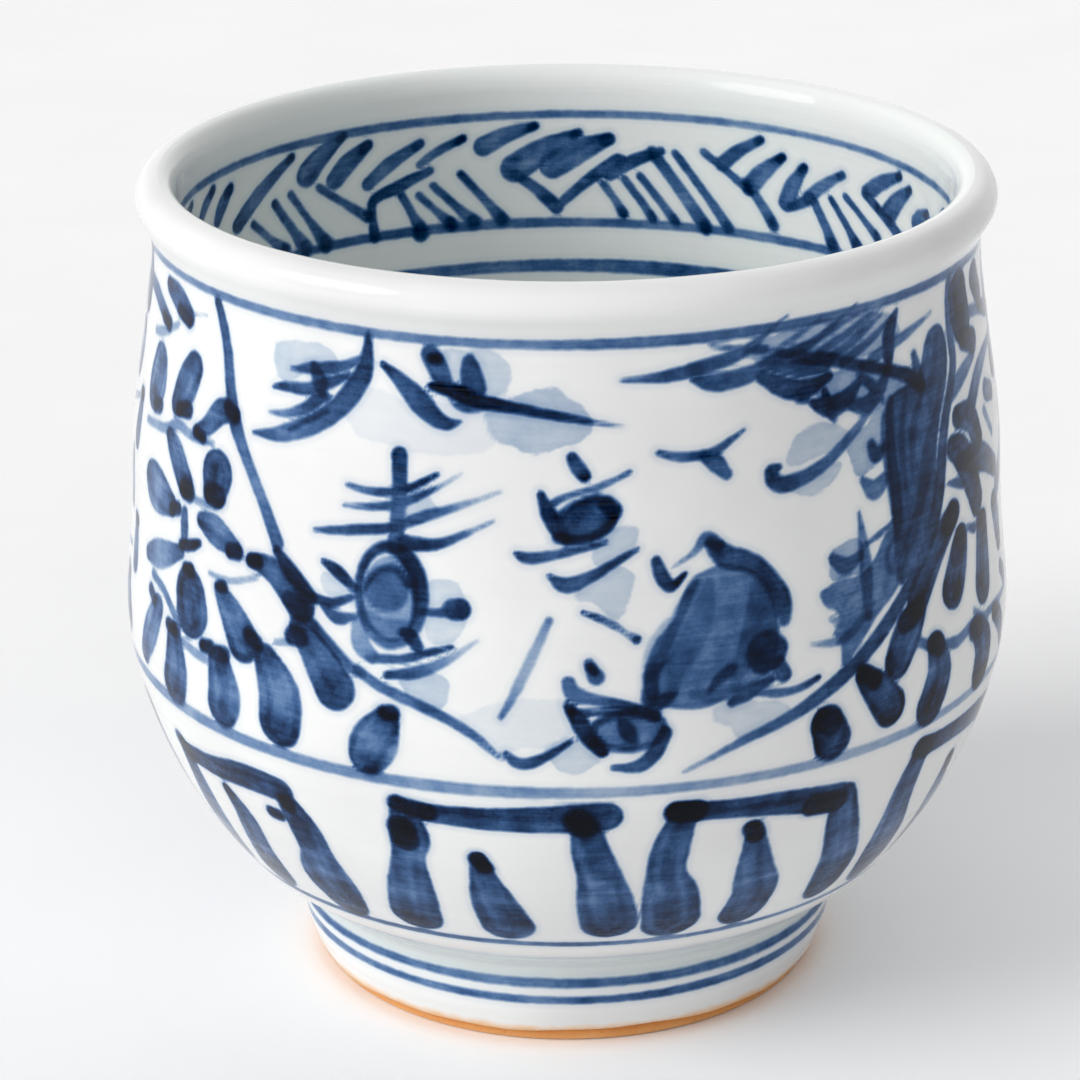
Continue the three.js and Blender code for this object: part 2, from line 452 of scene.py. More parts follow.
def draw_tree(brush):
    """A layered tree over a round, dark hollow."""
    brush.wash([(-20, 62), (-17, 61.3), (-16, 60), (-19.5, 59.2)], PALE)
    brush.wash([(-17.5, 53), (-14, 53.8), (-12, 52.5), (-12.2, 50), (-14, 48.3), (-17, 48.5)], 0.12)
    brush.wash(
        [(-20.5, 44.5), (-16, 45.3), (-14.2, 44.6), (-14.5, 42.6), (-17, 41.9), (-20, 43)], 0.17
    )
    brush.wash([(-31.5, 53), (-28, 53), (-27, 51), (-31, 50.8)], 0.12)
    brush.stroke(
        [(-21, 64.6), (-20.8, 62), (-20.9, 58.5), (-21, 56.5)], [1.5, 1.4, 1.4, 1.6], [0.75, 0.55, 0.6]
    )
    boughs = [
        ([(-27.9, 61.3), (-24, 61.1), (-20, 61.7), (-16, 63.3)], [0.45, 0.7, 0.7, 0.4], [0.6, 0.8]),
        ([(-28.2, 59.5), (-24, 59.8), (-20, 60.6), (-16.2, 62)], [0.35, 0.7, 0.8, 0.4], [0.5, 0.75]),
        ([(-16.6, 61.8), (-12.8, 63.6)], [0.4, 0.2], [0.5, 0.2]),
        (
            [(-32.2, 56.7), (-27, 57.4), (-22, 58.1), (-17.5, 59.5), (-13, 60.7), (-8, 62.2)],
            [0.4, 0.9, 0.9, 1.0, 0.6, 0.25],
            [0.68, 0.7, 0.7, 0.6, 0.42, 0.25],
        ),
        ([(-20, 57), (-16, 57.1), (-12.5, 58.2), (-8.8, 59.6)], [1.5, 1.0, 0.6, 0.25], [0.8, 0.35]),
    ]
    for points, widths, tones in boughs:
        brush.stroke(points, widths, tones)
    brush.patch(
        [(-25.6, 52), (-23.5, 55), (-20, 55.5), (-18, 53), (-18.6, 49.5), (-21.5, 47.7), (-25, 49)],
        LIGHT,
    )
    brush.ring(
        (-21.8, 51.9), 4.1, 4.5,
        [1.5, 1.7, 1.5, 1.1, 0.9, 0.8, 0.8, 0.8, 1.0, 1.0, 0.9, 1.2, 1.5],
        [0.74, 0.8, 0.8, 0.8, 0.78, 0.74, 0.7, 0.55, 0.5, 0.55, 0.55, 0.6, 0.74],
    )
    brush.patch([(-25.2, 51.6), (-24, 53.6), (-21, 54.4), (-19.3, 53), (-20, 51), (-23, 50.4)], 0.55)
    brush.line([(-25.2, 52), (-23.6, 53.9), (-21, 54.5), (-19.2, 53.2)], [0.4, 0.5, 0.7, 0.9], 0.6)
    brush.stroke([(-25, 49.6), (-22, 48.8), (-19.6, 49.4)], [1.6, 1.8, 1.2], 0.4)
    tufts = [
        ([(-30.8, 54), (-28.8, 53.3), (-26.4, 52)], [0.6, 1.2, 0.8], [0.82, 0.7]),
        ([(-32.5, 50.4), (-29.5, 50.3), (-26.6, 51.3)], [0.9, 0.9, 0.5], 0.72),
        ([(-31, 49.9), (-29, 49), (-26.6, 49.3)], [0.6, 1.2, 0.7], 0.6),
        ([(-18, 50.8), (-15.5, 50.9), (-13.5, 51.2)], [0.7, 0.8, 1.1], 0.58),
        ([(-13.6, 51.3), (-12.8, 51.4)], 2.0, [0.62, 0.78]),
        ([(-20, 48.7), (-19, 48.4), (-17.9, 47.3)], [0.8, 1.4, 0.9], [0.9, 0.65]),
        ([(-24.5, 45.8), (-20, 46.2), (-17, 47), (-13.8, 47.8)], [0.8, 0.8, 0.7, 0.4], [0.5, 0.8]),
        ([(-22, 44.5), (-18, 45.2), (-14.5, 46.5), (-10.5, 48.7)], [0.7, 1.1, 0.8, 0.2], [0.7, 0.2]),
        ([(-26, 49.2), (-25.5, 47), (-24, 46)], [1.2, 1.9, 1.4], 0.36),
    ]
    for points, widths, tones in tufts:
        brush.stroke(points, widths, tones)


def draw_boats(brush):
    """Two small boats with the water round them."""
    brush.wash([(3, 57), (4.5, 59), (8.3, 59.2), (8.8, 58), (7.5, 56), (4, 55.5)], PALE)
    brush.wash(
        [(1, 52.8), (3, 54.5), (6, 55.5), (8, 55.2), (8.2, 54), (6.8, 51.3), (5.5, 50.8), (3, 52.4)],
        PALE,
    )
    brush.wash(
        [(-13, 41.5), (-9, 42.8), (-4, 43.5), (0, 43), (2, 41), (-1, 40), (-3, 39), (-8, 38.5),
         (-11, 40)],
        0.06,
    )
    brush.wash([(-2.5, 39), (1, 39.8), (3.5, 38.5), (4, 37.5), (1, 36.4), (-1.5, 37.3)], 0.13)
    marks = [
        ([(0.7, 65.3), (1.4, 64.4), (2.2, 63.7)], [0.9, 1.3, 1.1], [0.8, 0.6, 0.95]),
        ([(-6, 56.8), (-4.5, 56.4), (-1, 56.8), (4.8, 57.8)], [0.5, 1.0, 0.8, 0.4], [0.85, 0.66, 0.75]),
        ([(-2, 54.8), (0, 54), (3, 54.8), (8.5, 57.1)], [0.5, 1.4, 1.0, 0.4], [0.8, 0.72, 0.65, 0.75]),
        ([(2, 51.5), (5, 50.5), (7.2, 49.4), (8.4, 48.8)], [0.4, 0.7, 0.5, 0.8], [0.8, 0.5, 0.5, 0.9]),
        (
            [(-2.1, 50.7), (-3.8, 47.8), (-5.8, 44.5), (-7.8, 41.7)],
            [0.7, 0.9, 0.9, 0.4],
            [0.45, 0.3, 0.34, 0.48],
        ),
        ([(2.6, 46.8), (3.5, 45.5)], [0.8, 1.5], 0.6),
        (
            [(-7.2, 38.3), (-5.5, 37.4), (-3, 37.9), (0.5, 39.6)],
            [0.6, 1.1, 0.9, 0.4],
            [0.7, 0.6, 0.65, 0.8],
        ),
    ]
    for points, widths, tones in marks:
        brush.stroke(points, widths, tones)
    brush.line([(2.8, 46.4), (3.3, 46)], 0.8, 0.93)
    draw_upper_boat(brush)
    draw_lower_boat(brush)


def draw_upper_boat(brush):
    brush.stroke([(-3.1, 62.1), (-2.2, 60.5), (-0.8, 58.7), (0, 58.1)], [0.6, 1.3, 1.3, 0.8], [0.85, 0.7, 0.9])
    brush.patch(
        [(-1, 59.8), (-0.4, 58.2), (2, 57.9), (4.8, 58.6), (6, 59.6), (5.6, 61.5), (3.5, 61.9),
         (1, 61.2)],
        0.72,
    )
    brush.line([(-0.9, 58.3), (1.5, 58), (4.5, 58.9), (6, 60.3)], [1.1, 0.8, 0.8, 0.7], 0.85)
    brush.line([(4.9, 61.2), (5.7, 60.6)], 1.5, 0.85)
    brush.line([(-1.2, 60.2), (1, 61.2), (4, 61.9)], [0.5, 0.5, 0.6], 0.6)
    brush.stroke([(-2.6, 60.8), (0, 61.9), (4, 62.7), (7.8, 63.9)], [0.9, 0.5, 0.6, 0.35], [0.7, 0.45, 0.6])


def draw_lower_boat(brush):
    brush.stroke(
        [(0.2, 45), (0.9, 44), (3.5, 43.4), (7, 42.8), (10.4, 41.7)],
        [1.2, 1.5, 1.0, 0.9, 1.1],
        [0.55, 0.5, 0.6, 0.72, 0.9],
    )
    brush.stroke([(0, 43), (1.2, 41.8), (2.6, 40), (4.2, 38.6)], [0.6, 1.4, 1.5, 1.1], [0.9, 0.85, 0.95])
    brush.stroke([(1, 42.3), (5, 42.2), (8, 42.3)], 0.55, 0.85)
    brush.patch([(3, 41), (5, 42), (9, 41.8), (11, 40.5), (9, 38.9), (5, 39)], 0.5)
    brush.ring((7.3, 40.4), 4.3, 1.7, [0.8, 0.5], [0.75, 0.55, 0.75])
    brush.line([(6.4, 41.6), (7.2, 40.4), (8, 39.4)], [0.7, 1.5, 0.8], 0.7)
    brush.stroke(
        [(5.5, 37), (8.5, 37), (10.4, 38.2), (11.6, 40)], [0.5, 1.2, 1.4, 1.3], [0.62, 0.68, 0.82]
    )


def draw_birds(brush):
    brush.stroke(
        [(11.4, 65.4), (14, 64.9), (17, 64.9), (19, 65.2), (22.7, 66.7)],
        [0.5, 0.8, 0.8, 0.8, 0.3],
        [0.85, 0.62, 0.75, 0.65, 0.6],
    )
    brush.stroke([(17, 64.8), (18.5, 64.2), (20, 63)], [0.8, 1.6, 1.1], [0.9, 0.7, 0.6])
    brush.stroke([(10.8, 55.9), (11.5, 54.4), (12.6, 53.5), (14.3, 54.5)], [0.9, 1.3, 1.0, 0.4], [0.75, 0.75, 0.8, 0.95])


def draw_rock(brush):
    """A round rock: a mid wash, a dark back, a hollow and grass at its foot."""
    brush.wash([(18, 41.6), (22, 42.3), (27, 41), (27.5, 39.5), (22, 38.8), (19, 40)], 0.12)
    brush.patch(
        [(15.5, 54.2), (19, 55), (22, 54.5), (24.8, 52.8), (26, 50.5), (26.4, 47.5), (25, 44.5),
         (20, 42.7), (16, 42), (12.5, 42.3), (9.8, 43), (9.3, 45.5), (10.5, 48.3), (13, 50.5),
         (14, 52.5)],
        0.5,
    )
    brush.stroke([(13, 55.3), (15.5, 56.4), (17, 57.6), (18.5, 56.8)], [0.2, 0.6, 1.1, 1.3], [0.4, 0.5, 0.7])
    brush.line(
        [(17.4, 57.2), (19.5, 55.7), (23, 54.7), (25.3, 53), (26.9, 50.8), (27.2, 49)],
        [0.9, 2.1, 1.7, 1.6, 1.9, 1.3],
        [0.8, 0.78, 0.72, 0.7, 0.76, 0.7],
    )
    brush.line(
        [(15.8, 53.7), (14, 51.5), (12, 48), (10.3, 45.7), (9.9, 43.2)],
        [0.5, 1.1, 1.0, 1.3, 1.6],
        [0.5, 0.42, 0.34, 0.5, 0.62],
    )
    shades = [
        ([(12.4, 50.3), (10.6, 48), (9.7, 46)], [0.8, 1.6, 1.0], 0.2),
        ([(23.4, 53.4), (24.2, 50.6), (23.4, 47.6), (20.6, 44.6)], [0.8, 3.0, 3.2, 1.2], [0.26, 0.34, 0.3]),
        ([(17.4, 53.4), (16.2, 50), (13.6, 46.5), (12.4, 44)], [0.8, 2.4, 2.2, 0.8], [0.2, 0.16, 0.24]),
        ([(25.2, 50), (25.4, 48.2), (24, 46.4)], [0.8, 1.4, 0.8], 0.3),
        ([(15.2, 43.4), (18, 43), (21, 43.4)], [0.8, 1.2, 0.6], 0.32),
    ]
    for points, widths, tones in shades:
        brush.line(points, widths, tones)
    brush.line([(20, 45.2), (18.3, 44.3), (17, 43.3)], [1.2, 1.0, 0.3], 0.66)
    brush.line([(9.6, 45.3), (11, 46), (12.3, 46.8)], [0.9, 0.7, 0.3], 0.5)
    brush.line([(10.3, 42.7), (12, 43.2), (13.2, 43.8)], [1.6, 1.1, 0.3], 0.66)
    brush.canvas.fill(
        "line", brush.moved([(22, 46), (23, 47.8), (25.5, 48.2), (27.6, 46.6), (26.4, 44.7), (23.5, 44.4)]), 0.78
    )
    brush.stroke([(26.2, 45), (27, 43.9)], 1.5, 0.66)
    brush.stroke([(20, 42.2), (22, 42.8), (25.5, 43.8)], [0.9, 1.4, 0.7], 0.76)
    brush.stroke([(22.5, 42.9), (26, 42.3), (29, 42.3), (31.8, 42.9)], [0.6, 0.8, 0.7, 0.5], [0.7, 0.56, 0.56, 0.8])


def draw_pine(brush):
    """A pine leaning in from the panel's right edge."""
    brush.wash([(22, 73), (28, 74.8), (38, 75), (46, 74.4), (49, 72), (40, 71), (30, 72)], 0.24)
    brush.wash([(30, 65.5), (33, 66), (37, 65.3), (38, 64), (33, 63), (29, 63)], 0.17)
    brush.wash([(26.5, 61), (30, 60), (34, 60.5), (36, 62), (28, 61.8)], 0.17)
    brush.wash([(38, 63), (39, 64), (44, 65.3), (45, 63.5), (41, 60.5), (38.8, 60.7)], 0.24)
    brush.wash(
        [(33, 69), (36, 70), (44, 69.8), (51, 68), (50, 66.8), (44, 66), (38, 66.6), (35, 67.4)], 0.3
    )
    sprays = [
        (
            [(7, 71.9), (12, 72), (17, 72.5), (22, 73.3), (25, 74.3), (28.8, 76.4)],
            [0.3, 1.0, 1.3, 1.2, 0.8, 0.3],
            [0.6, 0.62, 0.6, 0.5, 0.45],
        ),
        (
            [(16, 71.6), (19, 71.1), (24, 71.5), (28, 72.5), (34, 73.5), (40, 76.0)],
            [0.6, 1.6, 1.5, 1.1, 0.8, 0.3],
            [0.64, 0.62, 0.6, 0.56, 0.5],
        ),
        ([(18.5, 74.4), (22, 73.9), (26, 73.4)], [0.3, 0.6, 0.9], 0.5),
        ([(28, 73.4), (31, 74.2), (34, 75.3)], [0.3, 0.5, 0.2], 0.38),
        ([(31, 72.9), (36, 74), (42, 75.2)], [0.6, 0.7, 0.2], 0.46),
        ([(34, 72.2), (39, 73.4), (44, 75.0)], [0.8, 0.8, 0.2], 0.5),
        ([(36, 71.6), (41, 72.9), (45.5, 74.3)], [0.9, 0.9, 0.2], 0.48),
        ([(38, 70.9), (43, 72.2), (47.5, 73.6)], [1.0, 0.8, 0.4], 0.5),
        ([(40.5, 73.3), (43.5, 74.4), (46.5, 75.4)], [0.3, 0.6, 0.2], 0.4),
        ([(25.5, 71), (29, 69.7), (32, 69.3), (35.5, 70)], [1.2, 1.9, 1.6, 0.9], [0.7, 0.76, 0.68]),
        ([(27, 71.9), (31, 71.2), (35, 70.9)], [1.0, 1.6, 1.2], 0.64),
        ([(30.4, 68.4), (32, 68.3)], [0.5, 0.7], 0.6),
        ([(32.5, 68), (35.4, 67.2), (38, 67.6), (40.4, 68.8)], [0.7, 1.9, 1.7, 0.8], [0.68, 0.76, 0.6]),
        ([(34.6, 68.8), (35.4, 67), (36, 65.9)], [0.6, 1.3, 0.4], 0.7),
        ([(38.7, 67), (41.4, 66.5), (44.2, 67.6), (46.4, 69.6)], [1.0, 1.7, 1.4, 0.8], [0.6, 0.5]),
        ([(40.5, 69.4), (43, 67.9), (44.6, 66.3)], [0.6, 1.2, 0.4], 0.56),
        ([(43, 70.4), (49, 71.4), (56.5, 72.5)], [1.1, 1.0, 0.25], [0.5, 0.45, 0.4]),
        ([(46.2, 70.2), (46.8, 72.4), (48.3, 74)], [1.4, 1.7, 0.6], 0.66),
        (
            [(27.2, 62.9), (26, 62.5), (27, 61.4), (30, 61.5), (34, 62.4), (39, 64.5), (43.5, 66.6)],
            [0.6, 1.3, 1.5, 1.4, 1.1, 0.9, 0.4],
            [0.66, 0.76, 0.76, 0.68, 0.6, 0.5, 0.4],
        ),
    ]
    for points, widths, tones in sprays:
        brush.stroke(points, widths, tones)
    brush.line(
        [(27, 73.2), (31, 72.3), (35.5, 71.5), (40, 70.4), (46, 69), (51, 67.4), (52.6, 66.4)],
        [0.5, 1.0, 1.2, 1.1, 1.1, 1.5, 1.6],
        [0.5, 0.66, 0.76, 0.76, 0.72, 0.76, 0.8],
    )
    brush.line([(51.6, 69.4), (52.3, 67.2)], [0.9, 1.6], 0.6)
    draw_trunk(brush)


def draw_trunk(brush):
    brush.patch(
        [(45, 65.5), (47, 66.8), (52, 67.5), (55, 70.6), (58.5, 71), (60, 69), (59.2, 66), (56.5, 63),
         (54.6, 60), (53.8, 57), (53, 55), (50, 51.5), (46, 49), (44.8, 52.5), (44.5, 57), (44.3, 61)],
        0.66,
    )
    bark = [
        ([(46, 66.3), (45, 64.5), (44.8, 61.5), (45.2, 58), (45.6, 54.5)], [0.8, 1.7, 1.8, 1.8, 1.2], 0.52),
        ([(58, 66.2), (54.5, 62), (51, 57), (47, 53)], [0.6, 1.3, 1.4, 0.7], [0.25, 0.34]),
        ([(56, 64), (52, 60.5), (49.5, 56)], [0.4, 0.8, 0.4], 0.3),
        ([(52.5, 65.5), (50, 63), (48.8, 59)], [0.6, 1.1, 0.6], [0.42, 0.3]),
        ([(49.2, 66.2), (47.6, 63.5), (47.2, 60), (47.6, 57)], [0.5, 0.8, 0.7, 0.4], 0.34),
        ([(51.4, 58), (50, 55), (48, 52.4)], [0.6, 1.0, 0.6], 0.3),
        ([(57.5, 70), (56, 67.5), (54, 65.5)], [0.9, 1.0, 0.5], 0.2),
    ]
    for points, widths, tones in bark:
        brush.line(points, widths, tones)


def draw_bush(brush):
    """A low bush under the pine."""
    brush.wash([(34, 54), (36.5, 54.8), (39, 54.2), (39, 51.5), (34.5, 51.6)], 0.3)
    brush.patch(
        [(32.6, 50.4), (35, 51.4), (38.6, 51.4), (41, 52.4), (43.5, 54.6), (47, 55), (48.5, 52),
         (45.4, 49), (41.5, 47), (38, 44.6), (35.6, 43.2), (35.4, 45.4), (34.3, 46.6), (35.3, 48)],
        0.5,
    )
    dabs = [
        ([(34.3, 53.7), (36.3, 52.6), (38.6, 53.2)], [0.9, 1.6, 1.0], 0.6),
        ([(33, 50.5), (34.8, 49.7), (38, 50.2)], [0.9, 1.9, 0.9], [0.56, 0.4]),
        ([(34, 48), (36.5, 47.2), (39, 48.2)], [0.5, 1.2, 0.6], 0.36),
        ([(31, 46.1), (34, 45.8), (37, 46)], [0.3, 0.8, 0.7], 0.4),
        ([(39.5, 54), (42, 54.6), (44.7, 55.3)], [0.4, 0.6, 0.5], 0.5),
        ([(39.7, 60), (41.5, 58.8), (43.5, 59.5)], [0.7, 1.9, 1.3], 0.5),
        ([(43, 49.5), (45.5, 52.2), (47.5, 54)], [0.8, 1.3, 0.9], 0.3),
    ]
    for points, widths, tones in dabs:
        brush.stroke(points, widths, tones)
    brush.line([(38.7, 57.2), (39.3, 54), (39.8, 51), (40, 47.2)], [0.3, 1.2, 1.5, 1.0], 0.5)
    brush.line([(41.7, 62.9), (42.4, 61.9), (44.6, 62.4)], [1.0, 1.5, 0.8], 0.7)
    brush.ring((45.2, 52), 1.9, 1.6, 0.55, 0.34)
    brush.line([(35, 45.6), (37.5, 46.4), (41, 48.3)], [0.5, 1.0, 0.6], 0.35)


def draw_left_leaves(brush):
    """Pressed leaves on pale stems, to the left of the panel."""
    stems = [
        ([(-72, 68), (-68, 68.7), (-63, 70.3)], [0.8, 1.0, 0.6], 0.3),
        ([(-61, 71.8), (-55, 72.6)], [0.4, 0.25], 0.2),
        ([(-71, 59.6), (-64, 60.3), (-60, 61.5), (-56, 61.2), (-51, 61.5)], [0.7, 1.1, 1.0, 0.5], 0.36),
        ([(-66, 45.6), (-62, 44.9), (-58.5, 43.4), (-57, 42.7)], [0.9, 1.0, 0.8], 0.48),
        ([(-56, 41.4), (-52, 41), (-50, 41)], [0.8, 0.9, 0.8], 0.32),
        ([(-50.5, 49.3), (-46, 49.5), (-41.5, 50.7)], [0.5, 0.6, 0.6], 0.3),
        ([(-54, 55.6), (-51, 55.7)], 0.8, 0.3),
        ([(-38, 45.2), (-36, 45.6)], 0.6, 0.3),
    ]
    for points, widths, tones in stems:
        brush.stroke(points, widths, tones)
    brush.leaf([(-67.3, 73.2), (-63.5, 72.7), (-59.8, 71.6)], [1.6, 2.7, 2.0], 0.62,
               [(-63, 71.7), (-59.9, 71.2)], 1.3, 0.75)
    brush.leaf([(-81, 72), (-74, 71.5), (-66.3, 69.7)], [0.9, 1.6, 1.4], 0.6,
               [(-69, 70), (-66.5, 69.6)], 1.1, 0.7)
    brush.leaf([(-68.3, 65.8), (-68.7, 64), (-69.2, 62.9)], [3.6, 4.8, 4.0], 0.54,
               [(-68.3, 61.5), (-66.5, 61.9)], 1.5, 0.75)
    brush.leaf([(-57.2, 67.4), (-59, 65.3), (-61, 63.3)], [3.0, 3.8, 2.4], 0.6,
               [(-60.3, 62.9), (-57.6, 63.3)], 1.6, 0.9)
    brush.leaf([(-47.3, 64.9), (-50, 64.6), (-52.5, 62.9), (-55, 61.9)], [1.6, 2.4, 1.9, 1.1], 0.62,
               [(-48.6, 65.3), (-47.2, 64.7)], 1.6, 0.8)
    brush.line([(-55.2, 61.8), (-53.4, 61.6)], 1.1, 0.85)
    brush.leaf([(-62.3, 60.1), (-59.8, 58.9), (-56.7, 56.6)], [1.3, 2.8, 2.8], 0.58,
               [(-56.8, 56), (-55.7, 56)], 2.1, 0.85)
    brush.leaf([(-49.6, 59), (-49.8, 57.4)], [4.4, 3.5], 0.56,
               [(-50.8, 56.9), (-49, 57)], 2.2, 0.85)
    brush.leaf([(-52.3, 54), (-49.3, 53.6), (-45.6, 52.8)], [1.7, 3.1, 1.8], 0.55,
               [(-46.3, 52.3), (-45, 52.5)], 1.7, 0.93)
    brush.leaf([(-67.6, 54.7), (-65.5, 54.2), (-60.5, 53.8)], [3.2, 4.8, 2.4], 0.53,
               [(-60.2, 53.4), (-58.4, 53.8)], 1.4, 0.85)
    brush.stroke([(-56.5, 54), (-56.6, 52.6), (-56.6, 51)], [1.0, 1.4, 1.2], 0.55)
    brush.line([(-57.3, 50.5), (-55, 51), (-52.9, 51.7)], [1.1, 1.1, 0.7], 0.88)
    brush.leaf([(-68.3, 47.1), (-64, 48), (-57.5, 49.8)], [1.6, 3.0, 1.3], 0.46)
    brush.leaf([(-54.9, 46.3), (-54.4, 44.9)], [5.2, 5.5], 0.54,
               [(-56.2, 48.4), (-54.9, 48.6)], 1.4, 0.88)
    brush.leaf([(-48.3, 48.1), (-46, 46.4), (-43.6, 44.3)], [1.7, 3.3, 4.2], 0.56,
               [(-48.7, 48.4), (-47.6, 48.6)], 1.2, 0.88)
    brush.line([(-42.6, 45), (-41.1, 44.5)], 1.5, 0.85)
    brush.leaf([(-63.6, 42.9), (-65.8, 40), (-68.3, 37)], [2.6, 3.5, 2.2], 0.52,
               [(-66.4, 43.9), (-65, 43.3)], 1.4, 0.8)
    brush.leaf([(-58.2, 41.2), (-57.7, 38.4), (-58.5, 36.4)], [2.8, 4.3, 4.3], 0.54,
               [(-60, 42.2), (-58.4, 42)], 1.4, 0.85)
    brush.leaf([(-47.8, 41.2), (-46.8, 38.6), (-47.3, 37)], [3.2, 4.6, 4.2], 0.54,
               [(-51.2, 42.2), (-49.8, 42.3)], 1.5, 0.92)
    brush.line([(-49.3, 42), (-46.8, 42.3)], 1.5, 0.62)
    brush.leaf([(-39.6, 43.4), (-37.2, 40.4), (-37.2, 37.6)], [2.8, 5.0, 4.8], 0.54)
    brush.leaf([(-42.3, 52.2), (-38, 51.7), (-34.4, 49.4)], [1.4, 2.8, 3.3], 0.62,
               [(-42.6, 52.1), (-41.2, 52.2)], 1.3, 0.93)
    brush.leaf([(-34.5, 47.2), (-31.3, 44.7), (-29, 42.4)], [2.2, 3.6, 4.2], 0.60)
    brush.line([(-35.3, 46.3), (-34.3, 46.3)], 1.9, 0.8)
    brush.line([(-36, 49.6), (-33.4, 48.9)], 1.7, 0.45)
    brush.leaf([(-22.2, 39.9), (-23.6, 37.9), (-24.5, 36.4)], [3.0, 4.6, 3.6], 0.56,
               [(-22.1, 41), (-21.3, 41)], 1.6, 0.97)


def draw_right_leaves(brush):
    """Leaves to the right of the panel, darker than those on the left: their heavier tone is painted shade."""
    stems = [
        ([(49, 42.9), (51, 42.1)], 1.0, 0.5),
        ([(54.8, 41.3), (58, 40.9), (62, 41.5)], [1.0, 1.2, 0.9], 0.5),
        ([(63, 42.6), (66, 41.2), (70, 41), (80, 40.8)], [0.6, 0.8, 0.9, 0.6], 0.42),
        ([(68.5, 70.2), (73, 69.6), (79, 68.2)], [1.2, 1.1, 0.8], 0.5),
        ([(59.5, 64), (63, 65), (69, 66.2)], [1.3, 1.8, 1.0], 0.46),
        ([(56.8, 56.4), (59, 56), (61, 55.4)], [0.4, 0.9, 0.8], 0.62),
        ([(62, 51), (64.5, 50.3)], [0.6, 1.0], 0.55),
        ([(71, 60.3), (74, 57.5)], [1.1, 0.9], 0.4),
    ]
    for points, widths, tones in stems:
        brush.stroke(points, widths, tones)
    # A heavier tone than the left leaves: painted shade.
    tone = 0.73
    brush.leaf([(57.8, 53.4), (53.2, 50.7), (49.4, 47.3)], [2.6, 3.5, 3.6], tone,
               [(57.6, 53.5), (56.2, 52.6)], 2.2, 0.85)
    brush.leaf([(59.8, 50.3), (58.8, 48), (57.6, 46.2)], [3.0, 4.1, 4.2], tone,
               [(59.8, 50.6), (58.6, 49.2)], 2.6, 0.5)
    brush.leaf([(48.8, 45.8), (46.5, 43.9), (44.6, 42)], [2.9, 4.0, 3.4], tone,
               [(49.2, 46.1), (46.6, 45.4)], 2.4, 0.93)
    brush.leaf([(38.8, 41.8), (41, 40), (43.2, 37.9)], [2.0, 3.5, 4.0], tone,
               [(38.7, 42), (40.5, 41.1)], 2.0, 0.95)
    brush.leaf([(52.5, 41.8), (53.1, 39), (51.4, 36.2)], [2.7, 4.1, 4.4], tone,
               [(51.8, 42.1), (53.2, 41.5)], 2.1, 0.9)
    brush.leaf([(33, 38.3), (33.9, 36.5)], [3.6, 4.1], tone,
               [(32.4, 38.7), (33.5, 38.3)], 2.6, 0.97)
    brush.leaf([(63.2, 40.9), (65.8, 38.6), (65.6, 36.2)], [2.4, 4.4, 4.6], tone,
               [(62.2, 40.7), (64.6, 40.5)], 2.0, 0.8)
    brush.leaf([(67.3, 50), (67.4, 46.8), (66.9, 44.3)], [3.0, 3.8, 4.1], tone,
               [(66.4, 50.7), (67.8, 50.2)], 2.0, 0.6)
    brush.leaf([(63.5, 57.4), (69, 56.2), (74.5, 54)], [2.8, 2.8, 2.0], 0.7)
    brush.leaf([(58.8, 59.4), (61.5, 58), (65.5, 52.8)], [2.4, 3.6, 3.0], tone,
               [(60.3, 57.8), (63.2, 57.2)], 2.0, 0.7)
    brush.leaf([(61, 61.8), (65, 61), (67, 58.5)], [2.2, 3.1, 2.6], 0.7)
    brush.leaf([(65, 61.4), (70, 64), (76, 65.2), (84, 65.6)], [2.0, 2.0, 1.2, 0.7], 0.62)
    brush.leaf([(65.2, 72.6), (65.8, 70.2)], [4.6, 4.8], 0.68,
               [(65.6, 68.3), (69.5, 67.4)], 2.5, 0.8)
    brush.leaf([(71, 40.3), (74, 38.6), (76, 35.8)], [1.9, 2.4, 1.4], 0.7,
               [(70.8, 40.4), (73, 39.7)], 1.5, 0.6)
    brush.leaf([(73, 72.8), (75.3, 70.6)], [3.2, 2.8], 0.6)
    brush.leaf([(76, 69.3), (80, 68.3), (87, 67)], [1.3, 1.7, 1.0], 0.64)
    brush.leaf([(73.2, 61.8), (76.5, 61)], [2.2, 1.8], 0.58)
    brush.leaf([(73.5, 50.8), (75.6, 48.5), (76.6, 46.2)], [2.0, 2.9, 2.3], 0.64,
               [(73.3, 50.8), (74.5, 50.3)], 1.5, 0.6)
    brush.leaf([(76.5, 43.4), (78.6, 42)], [1.5, 1.9], 0.62)


def draw_side_leaves(brush):
    """The leaves between the two panels, on the cup's sides: loose rows that fan to either side."""
    rows = [(71.3, 84.0, 3), (64.6, 82.0, 3), (58.2, 85.0, 3), (52.0, 82.0, 3), (46.0, 85.0, 3), (40.2, 83.0, 3)]
    for height, start, count in rows:
        stem = [(start - 2 + 9.4 * k, height + brush.random.normal() * 1.1) for k in range(count)]
        brush.stroke(stem, [0.4, 0.9, 0.5], 0.34)
        lean = brush.random.uniform(-2.6, 2.6)
        for k in range(count):
            slant = lean * (1 - 0.45 * k) + brush.random.normal() * 0.9
            x = start + 9.0 * k + brush.random.normal() * 1.2
            top = height + 2.6 + brush.random.normal() * 0.8
            length = brush.random.uniform(3.6, 5.3)
            width = brush.random.uniform(2.3, 3.8)
            tone = brush.random.uniform(0.5, 0.66)
            brush.leaf(
                [(x - slant * 0.5, top), (x, top - length / 2), (x + slant, top - length)],
                [0.55 * width, 0.95 * width, width], tone,
                [(x - slant * 0.5 - 0.4, top + 0.1), (x - slant * 0.5 + 0.5, top)],
                1.4, brush.random.uniform(0.55, 0.85),
            )


